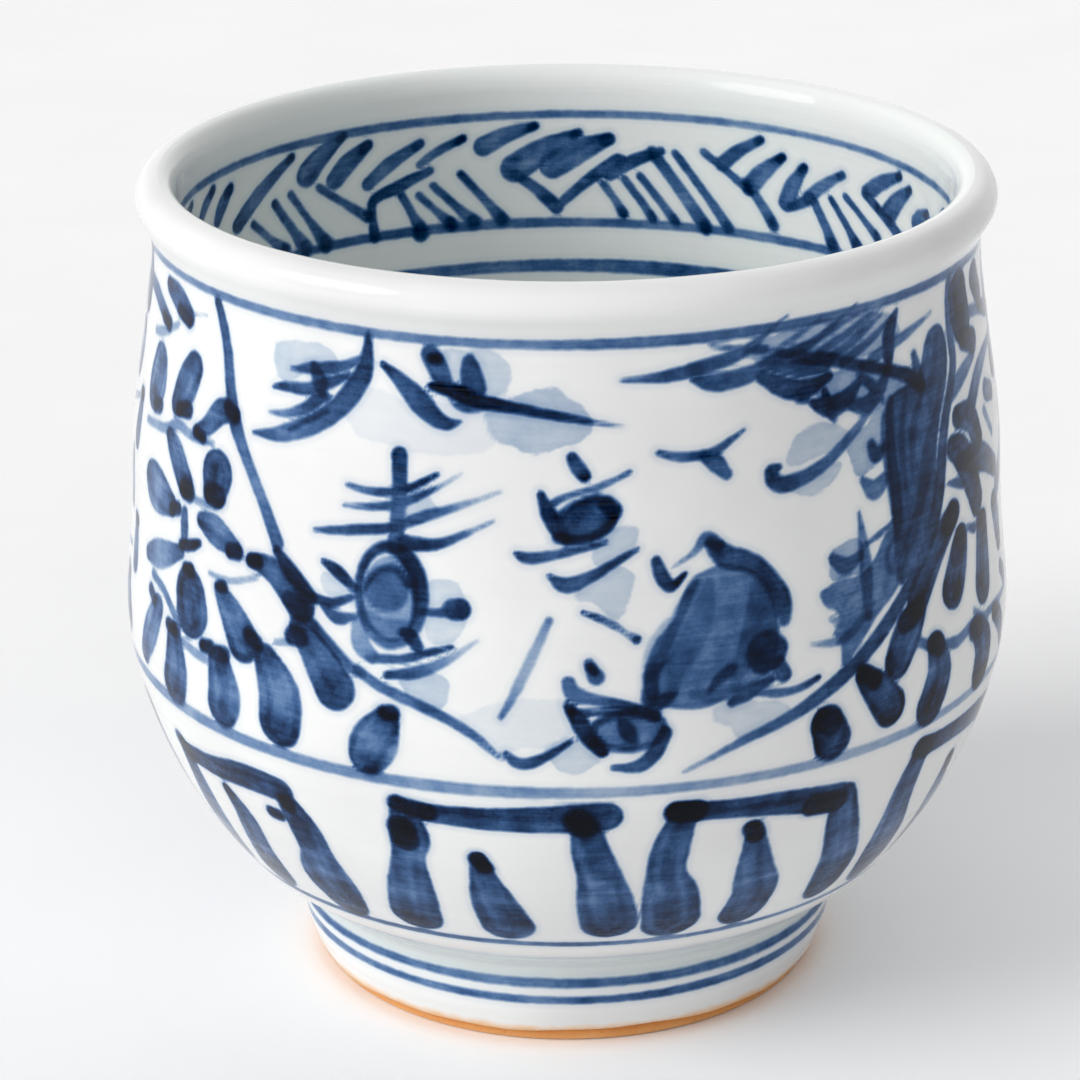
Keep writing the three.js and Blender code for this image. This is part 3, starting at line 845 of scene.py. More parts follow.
def draw_arch(brush, left, legs, bar, darks):
    """One arch of the lower border: its legs, its crossbar, then the dark starts of the strokes."""
    for points, widths in legs:
        points = [(left + x, z) for x, z in points]
        brush.stroke(points, widths, [0.74, 0.64, 0.59, 0.61, 0.72])
    points, widths = bar
    brush.stroke([(left + x, z) for x, z in points], widths, [0.78, 0.74, 0.76])
    for points, width, tone in darks:
        brush.line([(left + x, z) for x, z in points], width, tone)


def draw_arches(brush):
    """Ten arches round the lower part. The first four are as the front shows them."""
    draw_arch(
        brush, -60.0,
        [
            ([(-0.3, 29.6), (0.8, 26), (0.4, 22), (-0.8, 18)], [2.0, 3.2, 4.2, 4.6]),
            ([(9.2, 27.3), (11.2, 24.6), (10.8, 21.4), (10, 17.6)], [1.3, 3.2, 3.8, 4.6]),
            ([(21.5, 29.4), (23.5, 26.5), (24.2, 23.2), (24, 20), (24.6, 17.2)],
             [2.4, 3.9, 4.3, 6.2, 4.8]),
        ],
        ([(0, 29.2), (8, 29.5), (15, 30.2), (21.4, 30.2)], [1.9, 2.4, 3.0, 2.8]),
        [
            ([(-0.9, 30), (1.2, 29)], 1.9, 0.55),
            ([(21.7, 29), (21.9, 28.7)], 1.9, 0.93),
            ([(18.2, 27), (19.6, 27)], 1.4, 0.9),
            ([(23, 26.6), (23.2, 24.8)], 2.3, 0.5),
            ([(9.2, 27.4), (9.8, 26.8)], 1.2, 0.7),
        ],
    )
    draw_arch(
        brush, -20.6,
        [
            ([(0, 31.6), (0.5, 28.6), (-0.2, 26), (-1.2, 21.4), (-2.1, 17.9)], [2.3, 3.9, 3.3, 4.8, 5.2]),
            ([(9.3, 26.8), (9.8, 24), (10.7, 21), (12, 17.9)], [1.5, 2.8, 4.4, 5.0]),
            ([(22.8, 31.2), (23.6, 28), (24.8, 25), (25.8, 21.5), (26.7, 18.5)],
             [2.5, 3.5, 4.1, 5.2, 5.4]),
        ],
        ([(1.6, 31.5), (10.6, 31.4), (20.6, 31.7), (25.3, 31.9)], [1.9, 2.4, 3.1, 3.1]),
        [
            ([(-0.5, 32), (3.4, 31.5)], 1.9, 0.93),
            ([(-0.4, 29.4), (-0.2, 28)], 2.8, 0.88),
            ([(21.9, 31.5), (22.8, 30.8)], 2.7, 0.9),
            ([(9.2, 26.7), (10, 25.7)], 1.7, 0.95),
        ],
    )
    draw_arch(
        brush, 14.5,
        [
            ([(0, 31.6), (-1.3, 28), (-1.5, 24.6), (-0.3, 21.6), (0.8, 18)], [2.4, 3.6, 3.8, 5.3, 5.6]),
            ([(9.8, 28.7), (10.4, 26.4), (11.5, 23), (12.7, 20.6), (12.4, 17.8)],
             [1.7, 2.7, 4.1, 4.8, 4.9]),
            ([(22.8, 29.8), (23.8, 27), (25.5, 23.6), (26.8, 20.6), (27.2, 18)],
             [3.0, 3.8, 4.4, 5.1, 4.6]),
        ],
        ([(0, 31.8), (6, 31.5), (14, 30.9), (21.6, 30)], [2.2, 2.1, 2.7, 3.2]),
        [
            ([(-1.1, 31.9), (1.4, 31.8)], 2.3, 0.97),
            ([(18, 29.9), (21.8, 29.5)], 2.5, 0.9),
            ([(9.3, 28.8), (10.1, 27.9)], 1.9, 0.97),
        ],
    )
    for left in (51.4, 86.8, 122.3, 157.9, 193.4, 229.0, 264.5):
        lean = brush.random.normal() * 0.6
        draw_arch(
            brush, left,
            [
                ([(0.2, 31.4), (-1.1, 28), (-1.0, 24.5), (0.1, 21.2), (0.1 + lean, 17.9)],
                 [2.8, 3.7, 4.3, 5.5, 5.3]),
                ([(10.2 + lean, 27.4), (11.2, 24.6), (12.3, 21.2), (12.8, 17.8)], [1.6, 2.8, 4.2, 4.9]),
                ([(22.6, 29.8), (23.7, 27), (24.9, 23.6), (25.8 + lean, 18)], [2.9, 3.8, 4.6, 5.1]),
            ],
            ([(0.4, 31.5), (8, 31.2), (16, 30.7), (22, 30.1)], [2.3, 2.3, 2.7, 3.0]),
            [
                ([(-0.6, 31.7), (1.4, 31.4)], 2.3, 0.9),
                ([(20.5, 30), (22.4, 29.5)], 2.5, 0.85),
                ([(10.0 + lean, 27.4), (10.6 + lean, 26.6)], 1.6, 0.9),
            ],
        )


def draw_outside(canvas):
    front = Brush(canvas)
    back = Brush(canvas, centre=180.0, wander=0.35, seed=7)
    for brush in (front, back):
        draw_panel_border(brush)
        draw_fronds(brush)
        draw_far_shore(brush)
        draw_tree(brush)
        draw_boats(brush)
        draw_birds(brush)
        draw_rock(brush)
        draw_pine(brush)
        draw_bush(brush)
        draw_left_leaves(brush)
        draw_right_leaves(brush)
        draw_side_leaves(brush)
    draw_arches(Brush(canvas, seed=3))
    canvas.thin_out(21.6, 1.2, 0.45, 0.16)
    canvas.deepen_below(21.0, 1.2, 14.0, 0.12)
    canvas.ring_line(75.25, 1.0, 0.47)
    canvas.ring_line(34.5, 1.1, 0.34)
    canvas.ring_line(15.2, 0.8, 0.55, drift=0.06)
    canvas.ring_line(7.27, 0.85, 0.5, drift=0.04)
    canvas.ring_line(5.45, 0.95, 0.5, drift=0.04)


# Brush marks of the inner border: (upper end, lower end, upper width, lower width, dark end).
UPPER_MARKS = [
    (218, 75.4, 225, 72.2, 0.7, 2.2), (213.4, 73.9, 219.3, 70.9, 1.2, 1.7),
    (204, 73.3, 213, 69.7, 1.0, 1.1), (196.8, 73.4, 204, 71, 0.8, 0.5),
    (185, 74.4, 193.3, 72.4, 0.7, 1.6), (178, 73.6, 188, 69.8, 0.9, 2.4),
    (173, 73.0, 182, 70.0, 1.3, 2.2), (228.6, 74.4, 241, 69.2, 0.9, 1.5),
    (244.2, 73.4, 247.5, 70.8, 1.4, 1.2), (249.8, 74.3, 254, 72, 1.1, 1.0),
    (259, 74.4, 264, 72.4, 1.0, 1.2), (147.2, 74.4, 154.3, 71.1, 0.5, 1.2),
    (143.2, 72.9, 149.5, 69, 0.8, 1.5), (139, 72.3, 142.8, 68, 0.7, 1.5),
    (131, 72.5, 138.5, 69, 0.5, 1.1), (116.3, 74.6, 125.6, 71.4, 0.8, 1.2),
    (113.4, 73.6, 120.5, 69.8, 0.7, 1.7), (107.5, 72.2, 112, 70.2, 0.7, 1.5),
]
LOWER_MARKS = [
    (237, 68.6, 229, 64.4, 0.6, 1.2), (232, 70, 224.5, 63.9, 0.8, 1.4),
    (228.5, 70.5, 220.5, 63.9, 0.5, 1.4), (222.5, 70.4, 212.8, 66, 0.5, 0.9),
    (207, 67.9, 203.4, 63.4, 0.7, 1.5), (204, 67.6, 198.4, 63.9, 0.5, 1.2),
    (201.6, 68.5, 194.6, 63.9, 0.7, 1.3), (197, 69.5, 190, 64, 0.7, 1.1),
    (174, 68, 170.8, 64.7, 0.5, 0.8), (170.6, 68.6, 166.1, 64.3, 0.5, 0.8),
    (168, 69, 162.4, 64.1, 0.6, 0.9), (166, 71.8, 157.3, 63.8, 1.0, 1.2),
    (162.2, 71.8, 153.3, 64.0, 0.7, 1.0), (157.4, 72.2, 149.5, 68.6, 0.6, 0.8),
    (150, 69.5, 145.4, 65.2, 0.9, 1.0), (137.8, 69.2, 133.8, 64.3, 0.9, 1.3),
    (133.8, 69.5, 128.5, 65.1, 0.7, 1.3), (130.6, 70.2, 123.5, 66.8, 0.6, 1.0),
    (126, 71.2, 116, 67.5, 1.0, 1.2), (123, 70.2, 112, 66.6, 0.6, 1.0),
]
INNER_STEMS = [
    ([(202.3, 70.2), (207, 69), (211.8, 67.8), (212, 66), (211.5, 63.6)], [1.0, 1.4, 1.2, 0.9, 1.3]),
    ([(188.3, 69.2), (185, 67.6), (181.5, 65.4)], [1.1, 1.2, 1.6]),
    ([(171.5, 70.5), (176, 68.6), (181, 65.6)], [1.8, 1.3, 1.0]),
    ([(164.6, 71.9), (169, 70.7), (173, 69)], [1.0, 1.4, 1.4]),
    ([(138, 69), (142, 67.6)], [1.4, 0.9]),
]


def dab(brush, start, end, bow, widths):
    """A short mark of the inner border, pressed out towards its end."""
    middle = (0.45 * start[0] + 0.55 * end[0] + 2 * bow, 0.45 * start[1] + 0.55 * end[1] + bow)
    brush.stroke([start, middle, end], np.maximum(widths, 0.85), [0.62, 0.52, 0.58])


def draw_inner_border(canvas):
    """Slanting marks between two lines inside the mouth, then a plainer run where none are seen."""
    canvas.ring_line(75.7, 0.8, 0.46, drift=0.08)
    canvas.ring_line(63.75, 0.95, 0.52, drift=0.1)
    canvas.ring_line(58.8, 1.3, 0.58, drift=0.08)
    brush = Brush(canvas)
    for x, z, end_x, end_z, width, end_width in UPPER_MARKS:
        dab(brush, (x, z), (end_x, end_z), 0.15, [1.0 * width, 0.8 * width + 0.8 * end_width, 1.35 * end_width])
        brush.line([(x, z), (x + 0.7, z - 0.3)], max(width, 0.9), 0.42)
    for x, z, end_x, end_z, width, end_width in LOWER_MARKS:
        dab(brush, (x, z), (end_x, end_z), -0.15, [1.2 * width, 1.35 * width, 1.35 * end_width])
        brush.line([(end_x + 0.3, end_z + 0.5), (end_x, end_z)], max(0.85 * end_width, 0.8), 0.4)
    for points, widths in INNER_STEMS:
        brush.stroke(points, widths, [0.7, 0.64])
    draw_inner_front(Brush(canvas, seed=11))


def draw_inner_front(brush):
    """The part of the inner border that the near wall hides, in the same two slants."""
    for start in range(-86, 92, 22):
        for k in range(3):
            x = start + 4.6 * k + brush.random.normal() * 0.6
            z = 74.0 - 0.5 * k + brush.random.normal() * 0.3
            brush.stroke([(x, z), (x + 3.6, z - 1.6), (x + 7, z - 2.9)], [0.8, 1.0, 1.7], [0.85, 0.62, 0.7])
        for k in range(4):
            x = start + 9 + 3.4 * k + brush.random.normal() * 0.5
            z = 69.3 + brush.random.normal() * 0.5
            brush.stroke([(x, z), (x - 3.4, z - 2.8), (x - 5.6, 64.1)], [0.6, 0.9, 1.3], [0.62, 0.62, 0.85])
        brush.stroke([(start + 1, 70.3), (start + 4.5, 67.8), (start + 7, 65)], [0.9, 1.2, 1.0], 0.72)


# ---------------------------------------------------------------- meshes


def turned(name, outline, degrees):
    """A mesh turned round the Z axis from an outline in mm. A point on the axis becomes a pole."""
    angles = np.radians(degrees)
    points, index = [], []
    for radius, height in outline:
        start = len(points)
        if radius < 1e-6:
            points.append((0.0, 0.0, height))
            index.append(np.full(len(degrees), start))
        else:
            ring = (radius * np.sin(angles), -radius * np.cos(angles), np.full(len(degrees), height))
            points.extend(zip(*ring))
            index.append(start + np.arange(len(degrees)))
    index = np.array(index)
    beside = np.roll(index, -1, axis=1)
    quads = np.stack([index[:-1], beside[:-1], beside[1:], index[1:]], axis=-1).reshape(-1, 4)
    faces = [list(dict.fromkeys(quad)) for quad in quads.tolist()]
    mesh = bpy.data.meshes.new(name)
    mesh.from_pydata([tuple(c * MM for c in p) for p in np.array(points).tolist()], [], faces)
    mesh.shade_smooth()
    piece = bpy.data.objects.new(name, mesh)
    bpy.context.collection.objects.link(piece)
    return piece


def closed_shell(visible, thickness, closes_on_itself):
    """A visible outline and, one thickness behind it, a coarse hidden one that closes the solid."""
    behind = offset_left(visible, thickness)[::-1]
    hidden = np.vstack([behind[:1], behind[HIDDEN_STEP:-1:HIDDEN_STEP], behind[-1:]])
    loop = np.vstack([visible, hidden])
    return np.vstack([loop, visible[:1]]) if closes_on_itself else loop


def weld(piece):
    """Joins the last ring of a closed outline to its first."""
    bpy.context.view_layer.objects.active = piece
    piece.modifiers.new("weld", "WELD").merge_threshold = 1e-6
    piece.select_set(True)
    bpy.ops.object.modifier_apply(modifier="weld")
    piece.select_set(False)


def wave_glaze_edge(piece, lowest, highest):
    """Lets the glaze's lower edge wander a little up and down, as it does round a dipped foot."""
    count = len(piece.data.vertices)
    points = np.empty(count * 3)
    piece.data.vertices.foreach_get("co", points)
    points = points.reshape(-1, 3)
    angle = np.arctan2(points[:, 0], -points[:, 1])
    wave = 0.16 * np.sin(3 * angle + 1) + 0.1 * np.sin(7 * angle) + 0.05 * np.sin(17 * angle + 2)
    share = 1 - smoothstep(points[:, 2] / MM, lowest, highest)
    points[:, 2] += (wave - GLAZE_RUN) * share * MM
    piece.data.vertices.foreach_set("co", points.ravel())
    piece.data.update()


def keep_paint(piece, canvas, columns):
    """Writes the canvas onto the mesh points that it stands for. Hidden points get no paint."""
    mesh = piece.data
    painted = len(canvas.heights) * columns
    skipped = 0
    if canvas.radii[0] < 1e-6:
        skipped = columns - 1
    for layer in LAYERS:
        for kind, table, empty in (("edge", canvas.edge, FAR), ("tone", canvas.tone, MID)):
            values = np.full(len(mesh.vertices), empty)
            flat = table[layer].ravel()[skipped:]
            values[: painted - skipped] = flat
            attribute = mesh.attributes.new(f"{layer}_{kind}", "FLOAT", "POINT")
            attribute.data.foreach_set("value", values)


def level_at_crest(rows, steps=40):
    """A smooth outline that ends level at the crest of the lip, so the two glazes meet smoothly."""
    beyond = (2 * CREST[0] - rows[-2][0], rows[-2][1])
    return spline(rows + [beyond], steps)[:-steps]


def make_outer_glaze():
    smooth = level_at_crest(GLAZED_FOOT + GLAZED_OUTSIDE)
    visible = spread_rows(smooth, OUTSIDE_ROWS)
    degrees = spread_columns(OUTSIDE_COLUMNS, BELLY_RADIUS)
    canvas = Canvas(visible, degrees)
    draw_outside(canvas)
    piece = turned("glaze_outside", closed_shell(visible, GLAZE_THICKNESS, True), degrees)
    weld(piece)
    keep_paint(piece, canvas, len(degrees))
    wave_glaze_edge(piece, 1.6, 3.2)
    return piece


def make_inner_glaze():
    smooth = level_at_crest(GLAZED_INSIDE)
    visible = spread_rows(smooth, INSIDE_ROWS)
    degrees = np.arange(INSIDE_COLUMNS) * 360.0 / INSIDE_COLUMNS
    canvas = Canvas(visible, degrees)
    draw_inner_border(canvas)
    walked_down = visible[::-1]
    behind = offset_left(walked_down, GLAZE_THICKNESS)
    hidden = np.vstack([behind[:1], behind[HIDDEN_STEP:-1:HIDDEN_STEP]])[::-1]
    floor_below = [(0.0, visible[0, 1] - GLAZE_THICKNESS)]
    hidden[-1] = (CREST[0], CREST[1] - GLAZE_THICKNESS)
    outline = np.vstack([visible, hidden[::-1], floor_below])
    piece = turned("glaze_inside", outline, degrees)
    piece.data.flip_normals()
    keep_paint(piece, canvas, len(degrees))
    return piece


def rough_up(piece, amount, seed):
    """Moves each point a little along its normal, for fired clay's unevenness."""
    random = np.random.default_rng(seed)
    for vertex, push in zip(piece.data.vertices, random.normal(0.0, amount * MM, len(piece.data.vertices))):
        vertex.co += vertex.normal * max(min(push, 2 * amount * MM), -2 * amount * MM)


def make_foot_ring():
    """The bare clay ring that the cup stands on."""
    outside = spline([(24.15, 0.0), (24.55, 0.22), (24.75, 0.7), (24.92, BARE_EDGE_HEIGHT)], 6)
    hidden = np.array([(25.9, 4.0), (26.4, FOOT_TOP), (FOOT_INNER_RADIUS, FOOT_TOP)])
    inside = spline([(22.3, BARE_EDGE_HEIGHT), (22.4, 0.6), (22.6, 0.12), (22.85, 0.0)], 6)
    face = np.array([(23.2, 0.0), (23.6, 0.0)])
    outline = np.vstack([outside, hidden, inside, face, outside[:1]])
    piece = turned("bare_foot", outline, np.arange(FOOT_COLUMNS) * 360.0 / FOOT_COLUMNS)
    weld(piece)
    return piece


def make_well_glaze():
    """The glaze in the recess under the cup."""
    ceiling = FOOT_TOP - GLAZE_THICKNESS
    wall = FOOT_INNER_RADIUS - GLAZE_THICKNESS
    visible = spline(
        [(0.0, ceiling), (8.0, ceiling), (16.0, ceiling), (wall - 1.3, ceiling - 0.05),
         (wall - 0.3, ceiling - 0.5), (wall, ceiling - 1.4), (21.75, 3.2), (21.95, 1.7),
         (22.28, BARE_EDGE_HEIGHT)],
        8,
    )
    visible[:, 0] = np.maximum(visible[:, 0], 0.0)
    hidden = np.array([(22.15, 4.0), (FOOT_INNER_RADIUS, FOOT_TOP), (0.0, FOOT_TOP)])
    piece = turned(
        "glaze_under_foot", np.vstack([visible, hidden]), np.arange(FOOT_COLUMNS) * 360.0 / FOOT_COLUMNS
    )
    return piece


# ---------------------------------------------------------------- materials


def linear(red, green, blue, alpha=1.0):
    """A colour given as on screen, 0 to 255, as Blender's own linear values."""
    def one(value):
        value /= 255.0
        return value / 12.92 if value <= 0.04045 else ((value + 0.055) / 1.055) ** 2.4
    return (one(red), one(green), one(blue), alpha)


# Colour of the glaze over more and more pigment.
INK_COLOURS = [
    (0.00, (237, 238, 237)),
    (0.06, (221, 226, 230)),
    (0.14, (193, 205, 217)),
    (0.25, (155, 175, 199)),
    (0.38, (106, 136, 176)),
    (0.52, (64, 98, 145)),
    (0.66, (36, 67, 109)),
    (0.80, (15, 38, 72)),
    (0.91, (6, 22, 48)),
    (1.00, (6, 9, 19)),
]


class Nodes:
    """Short calls for building a material's nodes."""

    def __init__(self, name):
        self.material = bpy.data.materials.new(name)
        self.material.use_nodes = True
        self.tree = self.material.node_tree
        self.shader = self.tree.nodes["Principled BSDF"]

    def add(self, kind, **settings):
        node = self.tree.nodes.new(kind)
        for key, value in settings.items():
            setattr(node, key, value)
        return node

    def put(self, socket, value):
        if isinstance(value, bpy.types.NodeSocket):
            self.tree.links.new(value, socket)
        else:
            socket.default_value = value

    def math(self, operation, first, second=0.0, third=0.0, clamp=False):
        node = self.add("ShaderNodeMath", operation=operation, use_clamp=clamp)
        for socket, value in zip(node.inputs, (first, second, third)):
            self.put(socket, value)
        return node.outputs[0]

    def attribute(self, name):
        return self.add("ShaderNodeAttribute", attribute_name=name).outputs["Fac"]

    def remap(self, value, low, high, to_low=0.0, to_high=1.0, smooth=True):
        kind = "SMOOTHSTEP" if smooth else "LINEAR"
        node = self.add("ShaderNodeMapRange", interpolation_type=kind)
        for name, given in (
            ("Value", value), ("From Min", low), ("From Max", high), ("To Min", to_low), ("To Max", to_high)
        ):
            self.put(node.inputs[name], given)
        return node.outputs["Result"]

    def place(self, scale=(1.0, 1.0, 1.0)):
        coordinates = self.add("ShaderNodeTexCoord").outputs["Object"]
        mapping = self.add("ShaderNodeMapping")
        self.put(mapping.inputs["Vector"], coordinates)
        mapping.inputs["Scale"].default_value = scale
        return mapping.outputs["Vector"]

    def noise(self, size_mm, stretch=(1.0, 1.0, 1.0), detail=2.0, roughness=0.5):
        """Noise from about 0.2 to 0.8, with features of this size."""
        node = self.add("ShaderNodeTexNoise")
        self.put(node.inputs["Vector"], self.place(stretch))
        node.inputs["Scale"].default_value = 1.0 / (size_mm * MM)
        node.inputs["Detail"].default_value = detail
        node.inputs["Roughness"].default_value = roughness
        return node.outputs["Fac"]

    def height_mm(self):
        split = self.add("ShaderNodeSeparateXYZ")
        self.put(split.inputs[0], self.place((1 / MM, 1 / MM, 1 / MM)))
        return split.outputs["Z"]

    def ramp(self, value, stops):
        node = self.add("ShaderNodeValToRGB")
        self.put(node.inputs["Fac"], value)
        elements = node.color_ramp.elements
        while len(elements) < len(stops):
            elements.new(0.5)
        for element, (position, colour) in zip(elements, stops):
            element.position = position
            element.color = linear(*colour)
        return node.outputs["Color"]

    def mix(self, share, first, second, blend="MIX"):
        node = self.add("ShaderNodeMix", data_type="RGBA", blend_type=blend)
        self.put(node.inputs["Factor"], share)
        self.put(node.inputs[6], first)
        self.put(node.inputs[7], second)
        return node.outputs[2]

    def bump(self, height, distance_mm, strength=1.0):
        node = self.add("ShaderNodeBump")
        node.inputs["Strength"].default_value = strength
        node.inputs["Distance"].default_value = distance_mm * MM
        self.put(node.inputs["Height"], height)
        self.put(self.shader.inputs["Normal"], node.outputs["Normal"])


def ink_density(nodes, grain, wobble, blotting):
    """How much pigment shows, from the three painted layers."""
    bare = 1.0
    for layer, softness in (("wash", 0.22), ("brush", 0.27), ("line", 0.33)):
        edge = nodes.math("ADD", nodes.attribute(layer + "_edge"), wobble)
        if layer == "wash":
            edge = nodes.math("ADD", edge, blotting)
        tone = nodes.attribute(layer + "_tone")
        cover = nodes.remap(edge, -softness, softness, 1.0, 0.0)
        rim = nodes.remap(edge, -0.9, -0.1, 1.0, 1.03)
        pigment = nodes.math("MULTIPLY", nodes.math("MULTIPLY", tone, cover), rim)
        pigment = nodes.math("MULTIPLY", pigment, grain)
        haze = nodes.remap(edge, 0.05, 0.9, 0.09, 0.0)
        pigment = nodes.math("MAXIMUM", pigment, nodes.math("MULTIPLY", haze, tone))
        left = nodes.math("SUBTRACT", 1.0, pigment, clamp=True)
        bare = nodes.math("MULTIPLY", left, bare)
    return nodes.math("SUBTRACT", 1.0, bare, clamp=True)


def gloss(nodes, roughness_low=0.06, roughness_high=0.14):
    """A fired glaze: smooth, faintly uneven, with the turning marks of the clay under it."""
    shader = nodes.shader
    shader.inputs["IOR"].default_value = 1.5
    shader.inputs["Specular IOR Level"].default_value = 0.17
    shader.inputs["Coat Weight"].default_value = 0.0
    nodes.put(shader.inputs["Roughness"], nodes.remap(nodes.noise(6.0), 0.3, 0.7, roughness_low, roughness_high))
    turning = nodes.noise(9.0, stretch=(0.35, 0.35, 5.0), detail=3.0)
    dimples = nodes.noise(1.6, detail=1.0)
    height = nodes.math("MULTIPLY_ADD", dimples, 0.12, turning)
    nodes.bump(height, 0.09)


def painted_glaze(name, clear_colour, pool_and_shade_colour, pool_and_shade_low, pool_and_shade_high):
    """Clear glaze over white clay and blue painting. A greener, darker tint between two bands of heights is partly
    glaze lying thick and partly painted shade.
    """
    nodes = Nodes(name)
    streaks = nodes.noise(2.4, stretch=(0.35, 0.35, 4.5), detail=4.0, roughness=0.65)
    blots = nodes.noise(1.6, detail=3.0)
    pools = nodes.noise(4.5, detail=2.0)
    fine = nodes.noise(0.35, detail=1.0)
    texture = nodes.math("MULTIPLY_ADD", streaks, 0.26, nodes.math("MULTIPLY", blots, 0.26))
    texture = nodes.math("MULTIPLY_ADD", pools, 0.38, texture)
    texture = nodes.math("MULTIPLY_ADD", fine, 0.10, texture)
    grain = nodes.remap(texture, 0.38, 0.62, 0.76, 1.2, smooth=False)
    edge_noise = nodes.math("MULTIPLY_ADD", nodes.noise(1.2, detail=2.0), 0.2, -0.13)
    blotting = nodes.math("MULTIPLY_ADD", nodes.noise(3.5, detail=3.0), 2.4, -1.25)
    density = ink_density(nodes, grain, edge_noise, blotting)
    ink = nodes.ramp(density, INK_COLOURS)
    clouds = nodes.remap(nodes.noise(16.0), 0.3, 0.7)
    body = nodes.mix(clouds, linear(252, 252, 252), linear(*clear_colour))
    tinted = nodes.mix(1.0, ink, body, blend="MULTIPLY")
    height = nodes.height_mm()
    # Painted shade and thick glaze: a greener, darker tint between these heights.
    rises = nodes.remap(height, pool_and_shade_low[0], pool_and_shade_low[1])
    falls = nodes.remap(height, pool_and_shade_high[0], pool_and_shade_high[1], 1.0, 0.0)
    pool_and_shade = nodes.math("MULTIPLY", rises, falls)
    pooled_and_shaded = nodes.mix(nodes.math("MULTIPLY", pool_and_shade, 0.8), tinted, nodes.mix(1.0, tinted, linear(*pool_and_shade_colour), "MULTIPLY"))
    ragged = nodes.math("MULTIPLY_ADD", nodes.noise(1.5, detail=3.0), -1.0, height)
    scorch = nodes.remap(ragged, BARE_EDGE_HEIGHT - 0.7, BARE_EDGE_HEIGHT + 0.45, 0.85, 0.0)
    nodes.put(nodes.shader.inputs["Base Color"], nodes.mix(scorch, pooled_and_shaded, linear(232, 180, 118)))
    gloss(nodes)
    return nodes.material


def plain_glaze():
    """The unpainted glaze under the foot, with pinholes and a few iron specks."""
    nodes = Nodes("clear_glaze_plain")
    clouds = nodes.remap(nodes.noise(7.0, detail=4.0), 0.3, 0.7)
    body = nodes.mix(clouds, linear(226, 232, 230), linear(206, 217, 216))
    cells = nodes.add("ShaderNodeTexVoronoi")
    nodes.put(cells.inputs["Vector"], nodes.place())
    cells.inputs["Scale"].default_value = 1 / (5.0 * MM)
    specks = nodes.remap(cells.outputs["Distance"], 0.02, 0.05, 0.7, 0.0)
    nodes.put(nodes.shader.inputs["Base Color"], nodes.mix(specks, body, linear(96, 84, 70)))
    gloss(nodes)
    return nodes.material


def bare_clay():
    """Unglazed fired clay: pale, scorched orange towards the glaze, gritty."""
    nodes = Nodes("bare_clay_scorched")
    height = nodes.height_mm()
    patches = nodes.noise(5.0, detail=4.0, roughness=0.6)
    level = nodes.math("MULTIPLY_ADD", patches, 1.2, height)
    colour = nodes.ramp(
        nodes.remap(level, 0.2, 2.2, smooth=False),
        [(0.0, (216, 184, 146)), (0.35, (226, 166, 106)), (0.7, (214, 142, 76)), (1.0, (192, 116, 56))],
    )
    grit = nodes.noise(0.35, detail=3.0, roughness=0.7)
    dark = nodes.remap(grit, 0.62, 0.75, 0.0, 0.5)
    nodes.put(nodes.shader.inputs["Base Color"], nodes.mix(dark, colour, linear(110, 66, 38)))
    nodes.put(nodes.shader.inputs["Roughness"], nodes.remap(grit, 0.3, 0.7, 0.68, 0.92))
    nodes.bump(grit, 0.12)
    return nodes.material


def body_clay():
    """The white clay of the bowl, which the glaze covers all over."""
    nodes = Nodes("porcelain_body")
    patches = nodes.remap(nodes.noise(8.0, detail=4.0), 0.3, 0.7)
    grain = nodes.noise(0.5, detail=3.0, roughness=0.6)
    body = nodes.mix(patches, linear(236, 231, 221), linear(224, 215, 200))
    nodes.put(nodes.shader.inputs["Base Color"], body)
    nodes.put(nodes.shader.inputs["Roughness"], nodes.remap(grain, 0.3, 0.7, 0.6, 0.85))
    nodes.bump(grain, 0.06)
    return nodes.material


def white_card():
    """The pale surface that the cup stands on."""
    nodes = Nodes("white_card")
    mottle = nodes.remap(nodes.noise(30.0, detail=3.0), 0.3, 0.7)
    nodes.put(nodes.shader.inputs["Base Color"], nodes.mix(mottle, linear(255, 255, 255), linear(253, 253, 254)))
    nodes.shader.inputs["Roughness"].default_value = 0.6
    nodes.shader.inputs["Specular IOR Level"].default_value = 0.2
    return nodes.material


# ---------------------------------------------------------------- the object


def add_piece(piece, node, material):
    piece.data.set_sharp_from_angle(angle=RIM_ANGLE)
    piece.data.materials.clear()
    piece.data.materials.append(material)
    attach(piece, "root")
    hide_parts(node)


def build_cup():
    # The tint bands: the cove above the foot outside, the deep inside; each partly thick glaze, partly painted
    # shade.
    outer = painted_glaze("clear_glaze_outside", (245, 244, 245), (230, 238, 238), (6.4, 8.2), (10.5, 14.0))
    inner = painted_glaze("clear_glaze_inside", (251, 255, 253), (216, 230, 229), (5.0, 12.0), (20.0, 66.0))
    add_piece(make_outer_glaze(), "outer_glaze", outer)
    add_piece(make_inner_glaze(), "inner_glaze", inner)
    add_piece(make_foot_ring(), "foot_ring", bare_clay())
    add_piece(make_well_glaze(), "foot_well_glaze", plain_glaze())
    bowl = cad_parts["porcelain_bowl"]
    clay = body_clay()
    for slot in bowl.material_slots:
        slot.material = clay


# ---------------------------------------------------------------- camera, floor and light

CAMERA_DISTANCE = 0.3570
CAMERA_HEIGHT = 0.1783
CAMERA_TILT_DOWN = 20.861
CAMERA_YAW = 0.416
CAMERA_ROLL = -0.244
LENS_MM = 129.5
FLOOR_HALF = 1.6


